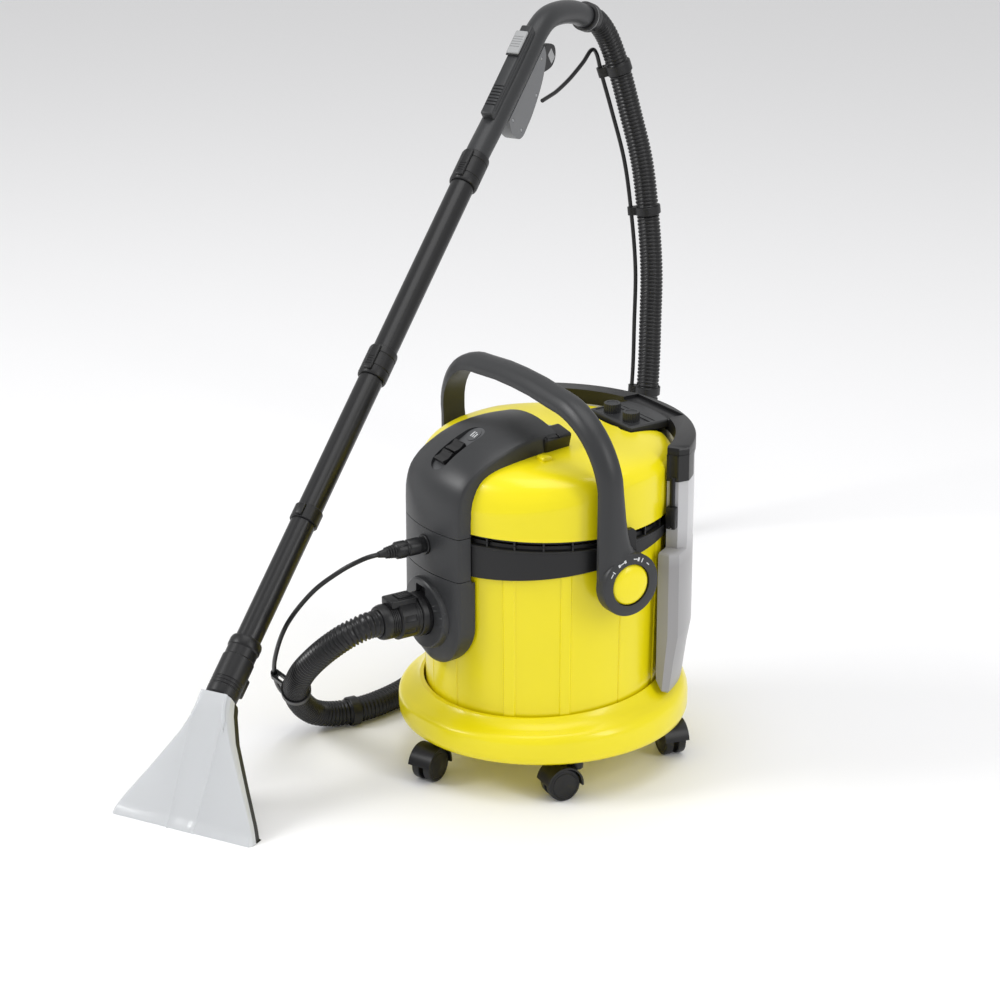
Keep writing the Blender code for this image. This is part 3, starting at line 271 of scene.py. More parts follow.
def raise_solid(bm, turn=None):
    """Merges a solid's doubles, faces it outwards and puts it in its place."""
    bmesh.ops.remove_doubles(bm, verts=bm.verts, dist=2e-6)
    bmesh.ops.dissolve_degenerate(bm, edges=bm.edges, dist=1e-7)
    bmesh.ops.recalc_face_normals(bm, faces=bm.faces)
    if turn is not None:
        bmesh.ops.transform(bm, matrix=turn, verts=bm.verts)
    return bm


def turned(profile, steps=64, turn=None):
    """A solid turned about Z from a closed outline of (radius, height)."""
    bm = bmesh.new()
    points = [bm.verts.new((radius, 0.0, height)) for radius, height in profile]
    edges = [bm.edges.new(pair) for pair in zip(points, points[1:] + points[:1])]
    bmesh.ops.spin(bm, geom=points + edges, cent=(0, 0, 0), axis=(0, 0, 1), angle=math.tau,
                   steps=steps, use_merge=True)
    return raise_solid(bm, turn)


def pressed(outline, depth, turn=None):
    """A flat outline in X and Y, pushed up along Z by a depth."""
    bm = bmesh.new()
    face = bm.faces.new([bm.verts.new((x, y, 0.0)) for x, y in outline])
    raised = bmesh.ops.extrude_face_region(bm, geom=[face])["geom"]
    top = [item for item in raised if isinstance(item, bmesh.types.BMVert)]
    bmesh.ops.translate(bm, verts=top, vec=(0, 0, depth))
    return raise_solid(bm, turn)


def brick(low, high, rounding=0.0, turn=None):
    """A block between two corners, with its edges rounded."""
    low, high = Vector(low), Vector(high)
    bm = bmesh.new()
    bmesh.ops.create_cube(bm, size=1.0)
    bmesh.ops.scale(bm, verts=bm.verts, vec=high - low)
    bmesh.ops.translate(bm, verts=bm.verts, vec=(low + high) / 2)
    if rounding:
        bmesh.ops.bevel(bm, geom=bm.edges[:], offset=rounding, segments=3, profile=0.5,
                        affect="EDGES", material=-1)
    return raise_solid(bm, turn)


def fitted(body, tool, operation="DIFFERENCE"):
    """One solid with another cut out of it, or joined on."""
    blanks = []
    for bm in (body, tool):
        mesh = bpy.data.meshes.new("blank")
        bm.to_mesh(mesh)
        bm.free()
        blank = bpy.data.objects.new("blank", mesh)
        bpy.context.scene.collection.objects.link(blank)
        blanks.append(blank)
    step = blanks[0].modifiers.new("step", "BOOLEAN")
    step.solver = "EXACT"
    step.operation = operation
    step.object = blanks[1]
    made = bmesh.new()
    made.from_object(blanks[0], bpy.context.evaluated_depsgraph_get())
    for blank in blanks:
        bpy.data.objects.remove(blank)
    return made


def joined(first, *others):
    """Several solids made one."""
    for other in others:
        first = fitted(first, other, "UNION")
    return first


def trimmed_at_floor(bm):
    """A solid cut off level with the floor, and closed there."""
    cut = bmesh.ops.bisect_plane(bm, geom=bm.verts[:] + bm.edges[:] + bm.faces[:], dist=1e-6,
                                 plane_co=(0, 0, 0.0003), plane_no=(0, 0, 1),
                                 clear_inner=True)["geom_cut"]
    bmesh.ops.holes_fill(bm, edges=[edge for edge in cut if isinstance(edge, bmesh.types.BMEdge)])
    return bm


def set_down(name, bm, finish, body, slot, *stands_for, edge=0.0, on_machine=True):
    """Makes a finished solid a piece that moves with its body, measured from the machine."""
    if on_machine:
        bmesh.ops.translate(bm, verts=bm.verts, vec=machine)
    mesh = bpy.data.meshes.new(name)
    bm.to_mesh(mesh)
    bm.free()
    mesh.shade_smooth()
    mesh.set_sharp_from_angle(angle=math.radians(30))
    mesh.materials.append(finish)
    piece = bpy.data.objects.new(name, mesh)
    bpy.context.scene.collection.objects.link(piece)
    if edge:
        soft = piece.modifiers.new("soft_edges", "BEVEL")
        soft.width = edge
        soft.segments = 2
        soft.limit_method = "ANGLE"
        soft.angle_limit = math.radians(34)
        soft.harden_normals = True
    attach(piece, body)
    if stands_for:
        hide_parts(*stands_for)
    return piece


satin_black = moulded_plastic("satin_black", (0.008, 0.008, 0.009), 0.38)
clip_width = 0.013


def hose_clip(name, near, body, line_run, width=clip_width):
    """A strap clip at the hose's nearest point to a place, reaching over to the line."""
    near = Vector(near) + machine
    index = min(range(2, len(hose_run) - 2), key=lambda i: (hose_run[i] - near).length)
    centre = hose_run[index]
    along = (hose_run[index + 2] - hose_run[index - 2]).normalized()
    beside = min(line_run, key=lambda point: (point - centre).length) - centre
    beside -= along * beside.dot(along)
    reach = beside.length
    across = beside.normalized()
    rise = along.cross(across)
    stand = Matrix((
        (across.x, rise.x, along.x, centre.x), (across.y, rise.y, along.y, centre.y),
        (across.z, rise.z, along.z, centre.z), (0, 0, 0, 1)))
    half = width / 2
    bore, outside = hose_diameter / 2 + 0.0003, hose_diameter / 2 + 0.0026
    strap = turned([(bore, -half), (outside - 0.0006, -half), (outside, -half + 0.0006),
                    (outside, half - 0.0006), (outside - 0.0006, half), (bore, half)], 48)
    eye_bore, eye_outside = line_diameter / 2 + 0.0003, line_diameter / 2 + 0.0024
    eye = turned([(eye_bore, -half), (eye_outside, -half), (eye_outside, half),
                  (eye_bore, half)], 20, Matrix.Translation((reach, 0, 0)))
    clip = joined(strap, eye)
    for side in (-1, 1):
        low, high = sorted((side * 0.0030, side * 0.0062))
        clip = joined(clip, brick((outside - 0.0030, low, -half), (reach + 0.001, high, half)))
    bmesh.ops.transform(clip, matrix=stand, verts=clip.verts)
    return set_down(name, trimmed_at_floor(clip), satin_black, body, "black_plastic",
                    edge=0.0004, on_machine=False)


low_clips = [hose_clip("hose_clip_1", (-0.142, -0.306, 0.103), "canister", lower_line_run, 0.015),
             hose_clip("hose_clip_2", (-0.203, -0.186, 0.019), "canister", lower_line_run),
             hose_clip("hose_clip_3", (-0.256, -0.026, 0.0185), "canister", lower_line_run)]
high_clips = [hose_clip("hose_clip_4", (-0.594, 0.598, 0.240), "wand", upper_line_run),
              hose_clip("hose_clip_5", (-0.602, 0.598, 0.537), "wand", upper_line_run),
              hose_clip("hose_clip_6", (-0.6262, 0.5545, 0.765), "wand", upper_line_run, 0.016)]


# Hose connector: a black bayonet plug on the hose's end, pushed into a flanged collar. A
# spring button in a boxed rail on top frees it.

def laid(x=0.0, y=0.0, z=0.0, about="X", degrees=0.0):
    """A place, with a turn about one axis."""
    return Matrix.Translation((x, y, z)) @ Matrix.Rotation(math.radians(degrees), 4, about)


inlet_height = 0.240
inlet_turn = laid(z=inlet_height, degrees=-90)
collar_outline = [(0.0196, -0.2080), (0.0285, -0.2080), (0.0298, -0.2070), (0.0300, -0.2050),
                  (0.0300, -0.1990), (0.0288, -0.1978), (0.0288, -0.1895), (0.0270, -0.1895),
                  (0.0270, -0.1500), (0.0196, -0.1500)]
set_down("inlet_flange", turned(collar_outline, 64, inlet_turn), satin_black, "canister",
         "black_plastic", "inlet_collar", edge=0.0005)

plug_outline = [(0.0160, -0.2622), (0.0205, -0.2622), (0.0222, -0.2610), (0.0236, -0.2570),
                (0.0240, -0.2530)]
for ring in range(5):
    start = -0.2520 + ring * 0.0026
    plug_outline += [(0.0240, start), (0.0240, start + 0.0013), (0.0230, start + 0.0014),
                     (0.0230, start + 0.0025)]
plug_outline += [(0.0240, -0.2388), (0.0262, -0.2376), (0.0275, -0.2366), (0.0275, -0.2150),
                 (0.0268, -0.2140), (0.0268, -0.2112), (0.0275, -0.2104), (0.0275, -0.2086),
                 (0.0190, -0.2086), (0.0190, -0.1560), (0.0165, -0.1560), (0.0165, -0.2400),
                 (0.0160, -0.2402)]
connector = turned(plug_outline, 64, inlet_turn)
for degrees in (-150, -112, -74, 74, 112, 150):
    slot_turn = laid(z=inlet_height, about="Y", degrees=degrees)
    connector = fitted(connector, brick((-0.0042, -0.2352, 0.0262), (0.0042, -0.2172, 0.0320),
                                        0.0008, slot_turn))
connector = fitted(connector, brick((-0.0140, -0.2480, inlet_height + 0.0200),
                                    (0.0140, -0.2092, inlet_height + 0.0312), 0.0022), "UNION")
connector = fitted(connector, brick((-0.0086, -0.2352, inlet_height + 0.0262),
                                    (0.0086, -0.2128, inlet_height + 0.0400)))
hose_plug = set_down("hose_plug", connector, satin_black, "canister", "black_plastic",
                     "hose_connector", edge=0.0005)
button = brick((-0.0080, -0.2345, inlet_height + 0.0290), (0.0080, -0.2135, inlet_height + 0.0330),
               0.0009)
for groove in range(4):
    along = -0.2310 + groove * 0.0042
    button = fitted(button, brick((-0.0060, along, inlet_height + 0.0324),
                                  (0.0060, along + 0.0014, inlet_height + 0.0350)))
plug_button = set_down("plug_button", button, satin_black, "release_button", "black_plastic",
                       "release_button", edge=0.0003)


# Spray line plug and socket: a ribbed black quick coupling pushed into the front cover.

socket_height = 0.336
socket_turn = laid(z=socket_height, degrees=-90)
plug_rings = [(0.0, -0.2600), (0.0040, -0.2600), (0.0048, -0.2560), (0.0058, -0.2500)]
for ring in range(4):
    start = -0.2490 + ring * 0.0036
    root, crest = 0.0062 + ring * 0.0005, 0.0076 + ring * 0.0005
    plug_rings += [(root, start), (crest, start + 0.0005), (crest, start + 0.0020),
                   (root, start + 0.0026)]
plug_rings += [(0.0095, -0.2335), (0.0112, -0.2328), (0.0115, -0.2316), (0.0115, -0.2200),
               (0.0104, -0.2190), (0.0104, -0.2160), (0.0112, -0.2152), (0.0115, -0.2140),
               (0.0115, -0.1990), (0.0106, -0.1982), (0.0106, -0.1906), (0.0049, -0.1906),
               (0.0049, -0.1760), (0.0, -0.1760)]
plug_body = turned(plug_rings, 40, socket_turn)
for number in range(8):
    rib_turn = laid(z=socket_height, about="Y", degrees=45 * number)
    plug_body = fitted(plug_body, brick((-0.0012, -0.2312, 0.0105), (0.0012, -0.2205, 0.0122),
                                        0.0004, rib_turn), "UNION")
line_plug = set_down("line_plug", plug_body, satin_black, "motor_head", "black_plastic",
                     "spray_plug", edge=0.0003)
socket_outline = [(0.0052, -0.1915), (0.0128, -0.1915), (0.0136, -0.1905), (0.0136, -0.1885),
                  (0.0098, -0.1880), (0.0098, -0.1740), (0.0052, -0.1740)]
set_down("line_socket", turned(socket_outline, 40, socket_turn), satin_black, "motor_head",
         "black_plastic", "spray_socket", edge=0.0003)


# Base ring: one thick yellow moulding, a bumper and tray on which the tub stands. Its
# shoulder slopes down from the tub, and a hook-shaped catch is sunk into it near the tank.

gloss_yellow = moulded_plastic("gloss_yellow", (0.88, 0.75, 0.003), 0.30, grain=0.05, tone=0.025,
                               coat=0.25)
ring_bore, ring_half_width, ring_half_length = 0.1640, 0.193, 0.200
ring_top, ring_slant, ring_slant_start = 0.121, 0.070, 0.088


def ring_lean(bm):
    """Stretches the ring front to back and lets its top climb towards the rear."""
    for vert in bm.verts:
        rise = min(1.0, max(0.0, (vert.co.z - ring_slant_start) / (ring_top - ring_slant_start)))
        if math.hypot(vert.co.x, vert.co.y) > ring_bore + 0.0003:
            vert.co.y *= ring_half_length / ring_half_width
        vert.co.z += ring_slant * vert.co.y * rise
    return bm


ring_outline = [(0.0, 0.0530), (0.1000, 0.0530), (0.1020, 0.0550), (0.1800, 0.0550),
                (0.1862, 0.0565), (0.1902, 0.0600), (0.1923, 0.0650), (0.1930, 0.0710),
                (0.1930, 0.0860), (0.1922, 0.0918), (0.1900, 0.0968), (0.1868, 0.1003),
                (0.1850, 0.1018), (0.1790, 0.1055), (0.1710, 0.1120), (0.1664, 0.1180),
                (0.1648, 0.1208), (0.1641, 0.1210), (0.1638, 0.1195), (0.1638, 0.0720),
                (0.0, 0.0720)]
base = ring_lean(turned(ring_outline, 192))
catch = bmesh.new()
catch_bend = 0.0150
bmesh.ops.create_circle(catch, cap_ends=True, segments=12, radius=0.0013,
                        matrix=laid(x=catch_bend))
bmesh.ops.rotate(catch, verts=catch.verts, cent=(catch_bend, 0, 0),
                 matrix=Matrix.Rotation(math.radians(90), 3, "X"))
bmesh.ops.spin(catch, geom=catch.faces[:], cent=(0, 0, 0), axis=(0, 0, 1),
               angle=math.radians(200), steps=20)
shoulder = Vector((0.1602, 0.0705, 0.1145))
shoulder_frame = (Matrix.Translation(shoulder) @ Matrix.Rotation(math.radians(24), 4, "Z")
                  @ Matrix.Rotation(math.radians(38), 4, "Y")
                  @ Matrix.Rotation(math.radians(-98), 4, "Z"))
raise_solid(catch, shoulder_frame)
base = fitted(base, catch)
set_down("bumper_ring", base, gloss_yellow, "canister", "yellow_plastic", "base_ring")


# Casters: five twin-wheel swivel casters, each a black hood over two hard wheels.

caster_headings = (-68, -98, -12, 165, 215)
wheel_radius, caster_trail, caster_circle = 0.0225, 0.022, 0.162
hard_rubber = moulded_plastic("hard_rubber", (0.007, 0.007, 0.008), 0.40, grain=0.15)
half_wheel = [(0.0039, 0.0035), (0.0215, 0.0035), (0.0225, 0.0046), (0.0225, 0.0128),
              (0.0220, 0.0141), (0.0208, 0.0148), (0.0190, 0.0150), (0.0184, 0.0143),
              (0.0172, 0.0143), (0.0166, 0.0150), (0.0062, 0.0154), (0.0050, 0.0160),
              (0.0, 0.0162)]
wheel_outline = ([(0.0, -0.0162)] + [(radius, -height) for radius, height in half_wheel[-2::-1]]
                 + half_wheel)
side_ways = Matrix(((0, 0, 1, 0), (1, 0, 0, 0), (0, 1, 0, 0), (0, 0, 0, 1)))


def bow(radius, start, end, steps):
    """Points round a circle from one angle to another, in degrees."""
    angles = [math.radians(start + (end - start) * i / steps) for i in range(steps + 1)]
    return [(radius * math.cos(angle), radius * math.sin(angle)) for angle in angles]


for number, heading in enumerate(caster_headings):
    angle = math.radians(-90 + 72 * number)
    stem = (laid(caster_circle * math.cos(angle),
                 caster_circle * math.sin(angle) * ring_half_length / ring_half_width)
            @ Matrix.Rotation(math.radians(heading - 90), 4, "Z"))
    axle = stem @ laid(y=caster_trail, z=wheel_radius) @ side_ways
    hood = pressed(bow(0.0265, 186, 8, 28) + bow(0.0240, 8, 186, 28), 0.0350,
                   axle @ laid(z=-0.0175))
    web = pressed(bow(0.0250, 178, 20, 24) + bow(0.0080, 20, -178, 24), 0.0052,
                  axle @ laid(z=-0.0026))
    neck = turned([(0.0, 0.0400), (0.0105, 0.0400), (0.0110, 0.0470), (0.0098, 0.0530),
                   (0.0075, 0.0552), (0.0, 0.0552)], 32, stem)
    hood = joined(hood, web, neck)
    set_down(f"caster_hood_{number + 1}", hood, satin_black, f"swivel_{number + 1}",
             "black_plastic", f"caster_{number + 1}_hood", edge=0.0009)
    set_down(f"caster_wheel_{number + 1}", turned(wheel_outline, 48, axle), hard_rubber,
             f"wheels_{number + 1}", "black_rubber", f"caster_{number + 1}_wheels")


# Tub: a tall yellow bucket with slightly flared walls. Raised strips and fine moulding
# lines run down it.

tub_foot, tub_rim = 0.0723, 0.352
tub_steps = 720
tub_outline = [(0.0, tub_foot), (0.1500, tub_foot), (0.1575, 0.0745), (0.1600, 0.0823)]
tub_outline += [(0.1600 + 0.0048 * step / 8, 0.0823 + (tub_rim - 0.0823) * step / 8)
                for step in range(1, 9)]
tub_outline += [(0.1625, tub_rim), (0.1570, 0.0843), (0.1480, 0.0763), (0.0, 0.0763)]
tub_strips = ((37.2, 42.7), (63.8, 68.7), (120.5, 125.5), (147.0, 152.0))
tub_lines = (94.0, 10.5, 136.0, 168.0)
bucket = turned(tub_outline, tub_steps)
for vert in bucket.verts:
    reach = math.hypot(vert.co.x, vert.co.y)
    if reach > 0.1594 and 0.08 < vert.co.z < 0.33:
        turn_from_front = abs(math.degrees(math.atan2(vert.co.x, -vert.co.y)))
        grow = 0.0
        if any(low - 0.05 < turn_from_front < high + 0.05 for low, high in tub_strips):
            grow = 0.0016
        if any(abs(turn_from_front - line) < 0.3 for line in tub_lines):
            grow = -0.0014
        vert.co.xy *= (reach + grow) / reach
bucket = fitted(bucket, turned([(0.0, -0.185), (0.0275, -0.185), (0.0275, -0.140), (0.0, -0.140)],
                               48, inlet_turn))
set_down("bucket", bucket, gloss_yellow, "canister", "yellow_plastic", "tub")


# Tub band: the black rim moulding round the tub. Above its smooth face, thin upright ribs
# stand in a dark groove under the head.

band_bottom, band_slant = 0.3235, 0.120
band_outline = [(0.1661, band_bottom), (0.1696, band_bottom), (0.1706, band_bottom + 0.0009),
                (0.1706, 0.3478), (0.1712, 0.3484), (0.1712, 0.3502), (0.1700, 0.3512),
                (0.1652, 0.3522), (0.1640, 0.3565), (0.1625, 0.3565), (0.1625, 0.3523),
                (0.1661, 0.3523)]
band = turned(band_outline, 192)
for vert in band.verts:
    if vert.co.z < band_bottom + 0.0011:
        vert.co.z += band_slant * vert.co.y
set_down("rim_band", band, satin_black, "canister", "black_plastic", "tub_band")


def rib_crown(low, high, inner, outer, count, thick):
    """A crown of thin upright ribs, all in one mesh."""
    crown = bmesh.new()
    for number in range(count):
        turn = laid(about="Z", degrees=360 / count * (number + 0.35))
        rib = bmesh.ops.create_cube(crown, size=1.0)["verts"]
        bmesh.ops.scale(crown, verts=rib, vec=(outer - inner, thick, high - low))
        bmesh.ops.translate(crown, verts=rib, vec=((outer + inner) / 2, 0, (low + high) / 2))
        bmesh.ops.transform(crown, matrix=turn, verts=rib)
    return crown


set_down("rim_ribs", rib_crown(0.3500, 0.3566, 0.1630, 0.1698, 28, 0.0026), satin_black,
         "canister", "black_plastic", edge=0.0004)


# Head plate: the black plate under the dome, with ribs that carry on the band's ribs.

deck = turned([(0.0420, 0.3568), (0.1600, 0.3568), (0.1630, 0.3590), (0.1630, 0.3636),
               (0.0420, 0.3636)], 128)
set_down("head_deck", deck, satin_black, "motor_head", "black_plastic", "head_ring")
set_down("head_ribs", rib_crown(0.3570, 0.3642, 0.1610, 0.1700, 28, 0.0026), satin_black,
         "motor_head", "black_plastic", edge=0.0004)


# Head shell: the yellow dome over the motor. A crease climbs round it towards the rear, and
# its back is notched for the tank's coupling.

head_radius, head_bottom, head_top = 0.1715, 0.364, 0.453
crease_height, crease_slope = 0.4246, 0.18
crease_mark = 0.428
wall_rows = [(head_radius - 0.0006, head_bottom), (head_radius, head_bottom + 0.0006)]
wall_rows += [(head_radius, head_bottom + (crease_mark - head_bottom) * step / 6 - 0.0008)
              for step in range(1, 7)]
dome_fractions = ((0.1715, 0.0), (0.1690, 0.222), (0.1600, 0.569), (0.1440, 0.778),
                  (0.1180, 0.896), (0.0700, 0.972), (0.0, 1.0))
dome_rows = smooth_run([Vector((radius, 0, crease_mark + (head_top - crease_mark) * part))
                        for radius, part in dome_fractions], 0.005)
dome_rows = [(max(0.0, row.x), min(head_top, row.z)) for row in dome_rows]
dome_rows[0] = (head_radius - 0.0004, crease_mark + 0.0006)
inner_rows = [(0.0, head_top - 0.003), (0.1080, 0.4460), (0.1500, 0.4340), (0.1685, 0.4160),
              (head_radius - 0.003, head_bottom)]
dome = turned(wall_rows + dome_rows + inner_rows, 160)
for vert in dome.verts:
    reach = math.hypot(vert.co.x, vert.co.y)
    crease = crease_height + crease_slope * min(vert.co.y, 0.025)
    if vert.co.z <= crease_mark:
        part = (vert.co.z - head_bottom) / (crease_mark - head_bottom)
        vert.co.z = head_bottom + part * (crease - head_bottom)
    else:
        part = (vert.co.z - crease_mark) / (head_top - crease_mark)
        vert.co.z = crease + part * (head_top - crease)
notch = [(-0.0530, 0.1800), (-0.0530, 0.1030), (-0.0460, 0.1008), (-0.0360, 0.0985),
         (-0.0260, 0.1003), (-0.0150, 0.0980), (0.0, 0.0968), (0.0150, 0.0980),
         (0.0260, 0.1003), (0.0360, 0.0985), (0.0460, 0.1008), (0.0530, 0.1030),
         (0.0530, 0.1800)]
dome = fitted(dome, pressed(notch, 0.0400, laid(z=0.4320)))
dome = fitted(dome, brick((0.0680, -0.0600, 0.4420), (0.0860, -0.0440, 0.4560), 0.0035), "UNION")
set_down("head_dome", dome, gloss_yellow, "motor_head", "yellow_plastic", "head_shell")
well = fitted(pressed(notch, 0.0016, laid(z=0.4305)),
              turned([(0.0, 0.42), (0.1680, 0.42), (0.1680, 0.45), (0.0, 0.45)], 96),
              "INTERSECT")
set_down("coupling_well", well, satin_black, "motor_head", "black_plastic")


# Front cover: three dark grey mouldings that meet at fine seams, from the inlet housing on
# the tub up over the dome. Each has a crowned face and square-cut sides.

soft_grey = moulded_plastic("soft_grey", (0.029, 0.030, 0.032), 0.38, grain=0.30, tone=0.05)
cover_half_width, cover_crown, cover_front = 0.066, 0.011, 0.178


def lofted(loops, turn=None):
    """A solid skinned over a row of closed loops of points, capped at both ends."""
    bm = bmesh.new()
    rows = []
    for loop in loops:
        points = [bm.verts.new(point) for point in loop]
        rows.append((points, [bm.edges.new(pair) for pair in zip(points, points[1:] + points[:1])]))
    for (_, near), (_, far) in zip(rows, rows[1:]):
        bmesh.ops.bridge_loops(bm, edges=near + far)
    bm.faces.new(rows[0][0])
    bm.faces.new(rows[-1][0])
    return raise_solid(bm, turn)


def cover_moulding(path, widths, depth=0.034):
    """A strip with a crowned face and round edges, drawn along points on the middle plane."""
    loops, points = [], [Vector(point) for point in path]
    for index, (point, half) in enumerate(zip(points, widths)):
        before, after = points[max(index - 1, 0)], points[min(index + 1, len(points) - 1)]
        along = (after - before).normalized()
        outward = Vector((0, -along.z, along.y))
        crown = cover_crown * half / cover_half_width
        face = [(half * f, crown * (1 - f * f)) for f in
                (0.93, 0.80, 0.65, 0.45, 0.23, 0.0, -0.23, -0.45, -0.65, -0.80, -0.93)]
        section = ([(half, -depth), (half, -0.0050), (half * 0.993, -0.0022), (half * 0.975, 0.0)]
                   + face + [(-half * 0.975, 0.0), (-half * 0.993, -0.0022), (-half, -0.0050),
                             (-half, -depth)])
        loops.append([point + Vector((x, 0, 0)) + outward * out for x, out in section])
    return lofted(loops)


housing_bottom, seam_low, seam_high = 0.168, 0.300, 0.360
centre = housing_bottom + cover_half_width * 0.95
housing_path, housing_widths = [], []
for degrees in (8, 14, 22, 30, 39, 48, 57, 66, 75, 83, 90):
    housing_path.append((0, -cover_front + 0.004 * (1 - degrees / 90),
                         centre - cover_half_width * 0.95 * math.cos(math.radians(degrees))))
    housing_widths.append(cover_half_width * math.sin(math.radians(degrees)))
housing_path += [(0, -cover_front, 0.262), (0, -cover_front, seam_low - 0.0009)]
housing_widths += [cover_half_width] * 2
housing = cover_moulding(housing_path, housing_widths)
housing = fitted(housing, turned([(0.0, 0.10), (0.1664, 0.10), (0.1664, 0.2962), (0.1714, 0.2965),
                                  (0.1714, 0.330), (0.0, 0.330)], 128))
dish = turned([(0.0300, -0.1960), (0.0460, -0.1960), (0.0480, -0.1945), (0.0500, -0.1800),
               (0.0300, -0.1800)], 96, inlet_turn)
for vert in dish.verts:
    if vert.co.y < -0.19:
        vert.co.y += 0.0105 * (vert.co.x / cover_half_width) ** 2
housing = fitted(housing, dish, "UNION")
housing = fitted(housing, turned([(0.0, -0.230), (0.0302, -0.230), (0.0302, -0.1890),
                                  (0.0275, -0.1888), (0.0275, -0.12), (0.0, -0.12)], 64,
                                 inlet_turn))
housing = fitted(housing, brick((-0.0115, -0.2100, inlet_height + 0.0270),
                                (0.0115, -0.1850, inlet_height + 0.0395), 0.002))
set_down("inlet_cover", housing, soft_grey, "canister", "dark_grey_plastic", "inlet_housing",
         edge=0.0006)

middle = cover_moulding([(0, -cover_front, seam_low), (0, -cover_front, 0.330),
                         (0, -cover_front, seam_high - 0.0009)], [cover_half_width] * 3)
middle = fitted(middle, turned([(0.0, 0.280), (0.1722, 0.280), (0.1722, 0.370), (0.0, 0.370)],
                               128))
middle = fitted(middle, turned([(0.0, -0.200), (0.0140, -0.200), (0.0140, -0.1872),
                                (0.0102, -0.1870), (0.0102, -0.160), (0.0, -0.160)], 48,
                               socket_turn))
set_down("middle_cover", middle, soft_grey, "motor_head", "dark_grey_plastic", "cover_mid",
         edge=0.0006)

over_path = smooth_run([(0, -0.1780, seam_high), (0, -0.1780, 0.385), (0, -0.1765, 0.405),
                        (0, -0.1700, 0.425), (0, -0.1560, 0.441), (0, -0.1390, 0.452),
                        (0, -0.1180, 0.462), (0, -0.0900, 0.4705), (0, -0.0550, 0.4750),
                        (0, -0.0200, 0.4750)], 0.0075)
over_widths = [cover_half_width - 0.009 * max(0.0, (point.y + 0.110) / 0.090) ** 1.3
               if point.y > -0.110 else cover_half_width for point in over_path]
over = cover_moulding(over_path, over_widths)
grown = [(0.0, 0.4550), (0.070, 0.4530), (0.118, 0.4480), (0.144, 0.4380), (0.160, 0.4260),
         (0.1696, 0.4060), (0.1721, 0.3806), (0.1721, 0.340), (0.0, 0.340)]
over = fitted(over, turned(grown, 128))
slope = Matrix.Translation((0, -0.1330, 0.4600)) @ Matrix.Rotation(math.radians(30), 4, "X")


def stadium(half_width, low, high):
    """A long rounded outline up the slope of the cover."""
    return [(half_width * math.cos(math.radians(a)), end + half_width * math.sin(math.radians(a)))
            for end, angles in ((high, range(0, 181, 12)), (low, range(180, 361, 12)))
            for a in angles]


over = fitted(over, pressed(stadium(0.0165, -0.030, 0.024), 0.030, slope @ laid(z=-0.0015)))
set_down("over_cover", over, soft_grey, "motor_head", "dark_grey_plastic", "cover_top",
         edge=0.0006)

pale_grey = moulded_plastic("pale_grey", (0.080, 0.082, 0.086), 0.42, grain=0.2, tone=0.04)
set_down("switch_floor", pressed(stadium(0.0163, -0.030, 0.024), 0.0007,
                                 slope @ laid(z=-0.0014)), pale_grey,
         "motor_head", "dark_grey_plastic", edge=0.0002)


# Switches: two black rockers, one for suction and one for the spray pump, under a small
# pale plate with a plain sign for each.

rocker_outline = [(-0.0092, 0.0006), (0.0092, 0.0006), (0.0094, 0.0062), (0.0086, 0.0074),
                  (0.0060, 0.0068), (0.0030, 0.0058), (0.0, 0.0054), (-0.0030, 0.0058),
                  (-0.0060, 0.0068), (-0.0086, 0.0074), (-0.0094, 0.0062)]
for name, node, along in (("spray_rocker", "rocker_spray", -0.0250),
                          ("suction_rocker", "rocker_suction", -0.0045)):
    rocker = pressed(rocker_outline, 0.0220, slope @ laid(y=along, z=0.0010) @ side_ways
                     @ laid(z=-0.0110))
    rocker = joined(rocker, brick((-0.0075, along + 0.0068, 0.0070),
                                  (0.0075, along + 0.0082, 0.0092), 0.0004, slope))
    set_down(name, rocker, satin_black, node, "black_plastic", node, edge=0.0006)

off_white = moulded_plastic("off_white", (0.62, 0.63, 0.64), 0.45, grain=0.08, tone=0.02)
set_down("sign_plate", pressed(stadium(0.0085, 0.0235, 0.0275), 0.0007,
                               slope @ laid(z=-0.0006)), pale_grey, "motor_head",
         "dark_grey_plastic", edge=0.0002)
signs = bmesh.new()
for x, low, high in ((-0.0042, 0.0215, 0.0305), (0.0, 0.0215, 0.0262), (0.0, 0.0280, 0.0305),
                     (0.0042, 0.0215, 0.0290)):
    mark = bmesh.ops.create_cube(signs, size=1.0)["verts"]
    bmesh.ops.scale(signs, verts=mark, vec=(0.0016, high - low, 0.0004))
    bmesh.ops.translate(signs, verts=mark, vec=(x, (low + high) / 2, 0.0003))
bmesh.ops.transform(signs, matrix=slope, verts=signs.verts)
set_down("switch_signs", signs, off_white, "motor_head", "light_grey_plastic")


# End block: the black latch block that closes the cover's rear corner on the dome.

latch = brick((-0.0150, -0.0230, -0.0120), (0.0150, 0.0230, 0.0150), 0.0045)
latch = fitted(latch, brick((-0.0200, -0.0020, 0.0128), (0.0200, -0.0004, 0.0200)))
latch_place = (Matrix.Translation((0.0455, -0.0205, 0.4610))
               @ Matrix.Rotation(math.radians(7), 4, "Z")
               @ Matrix.Rotation(math.radians(14), 4, "Y"))
bmesh.ops.transform(latch, matrix=latch_place, verts=latch.verts)
set_down("cover_latch", latch, satin_black, "motor_head", "black_plastic", edge=0.0006)


# Carry handle: a dark grey bail with a crowned outer face. Its legs end in discs that
# turn on yellow caps, and pale marks show its two locking positions.

pivot_height, handle_inner, disc_radius = 0.305, 0.1855, 0.043
handle_lean = laid(z=pivot_height) @ Matrix.Rotation(math.radians(6.5), 4, "X")


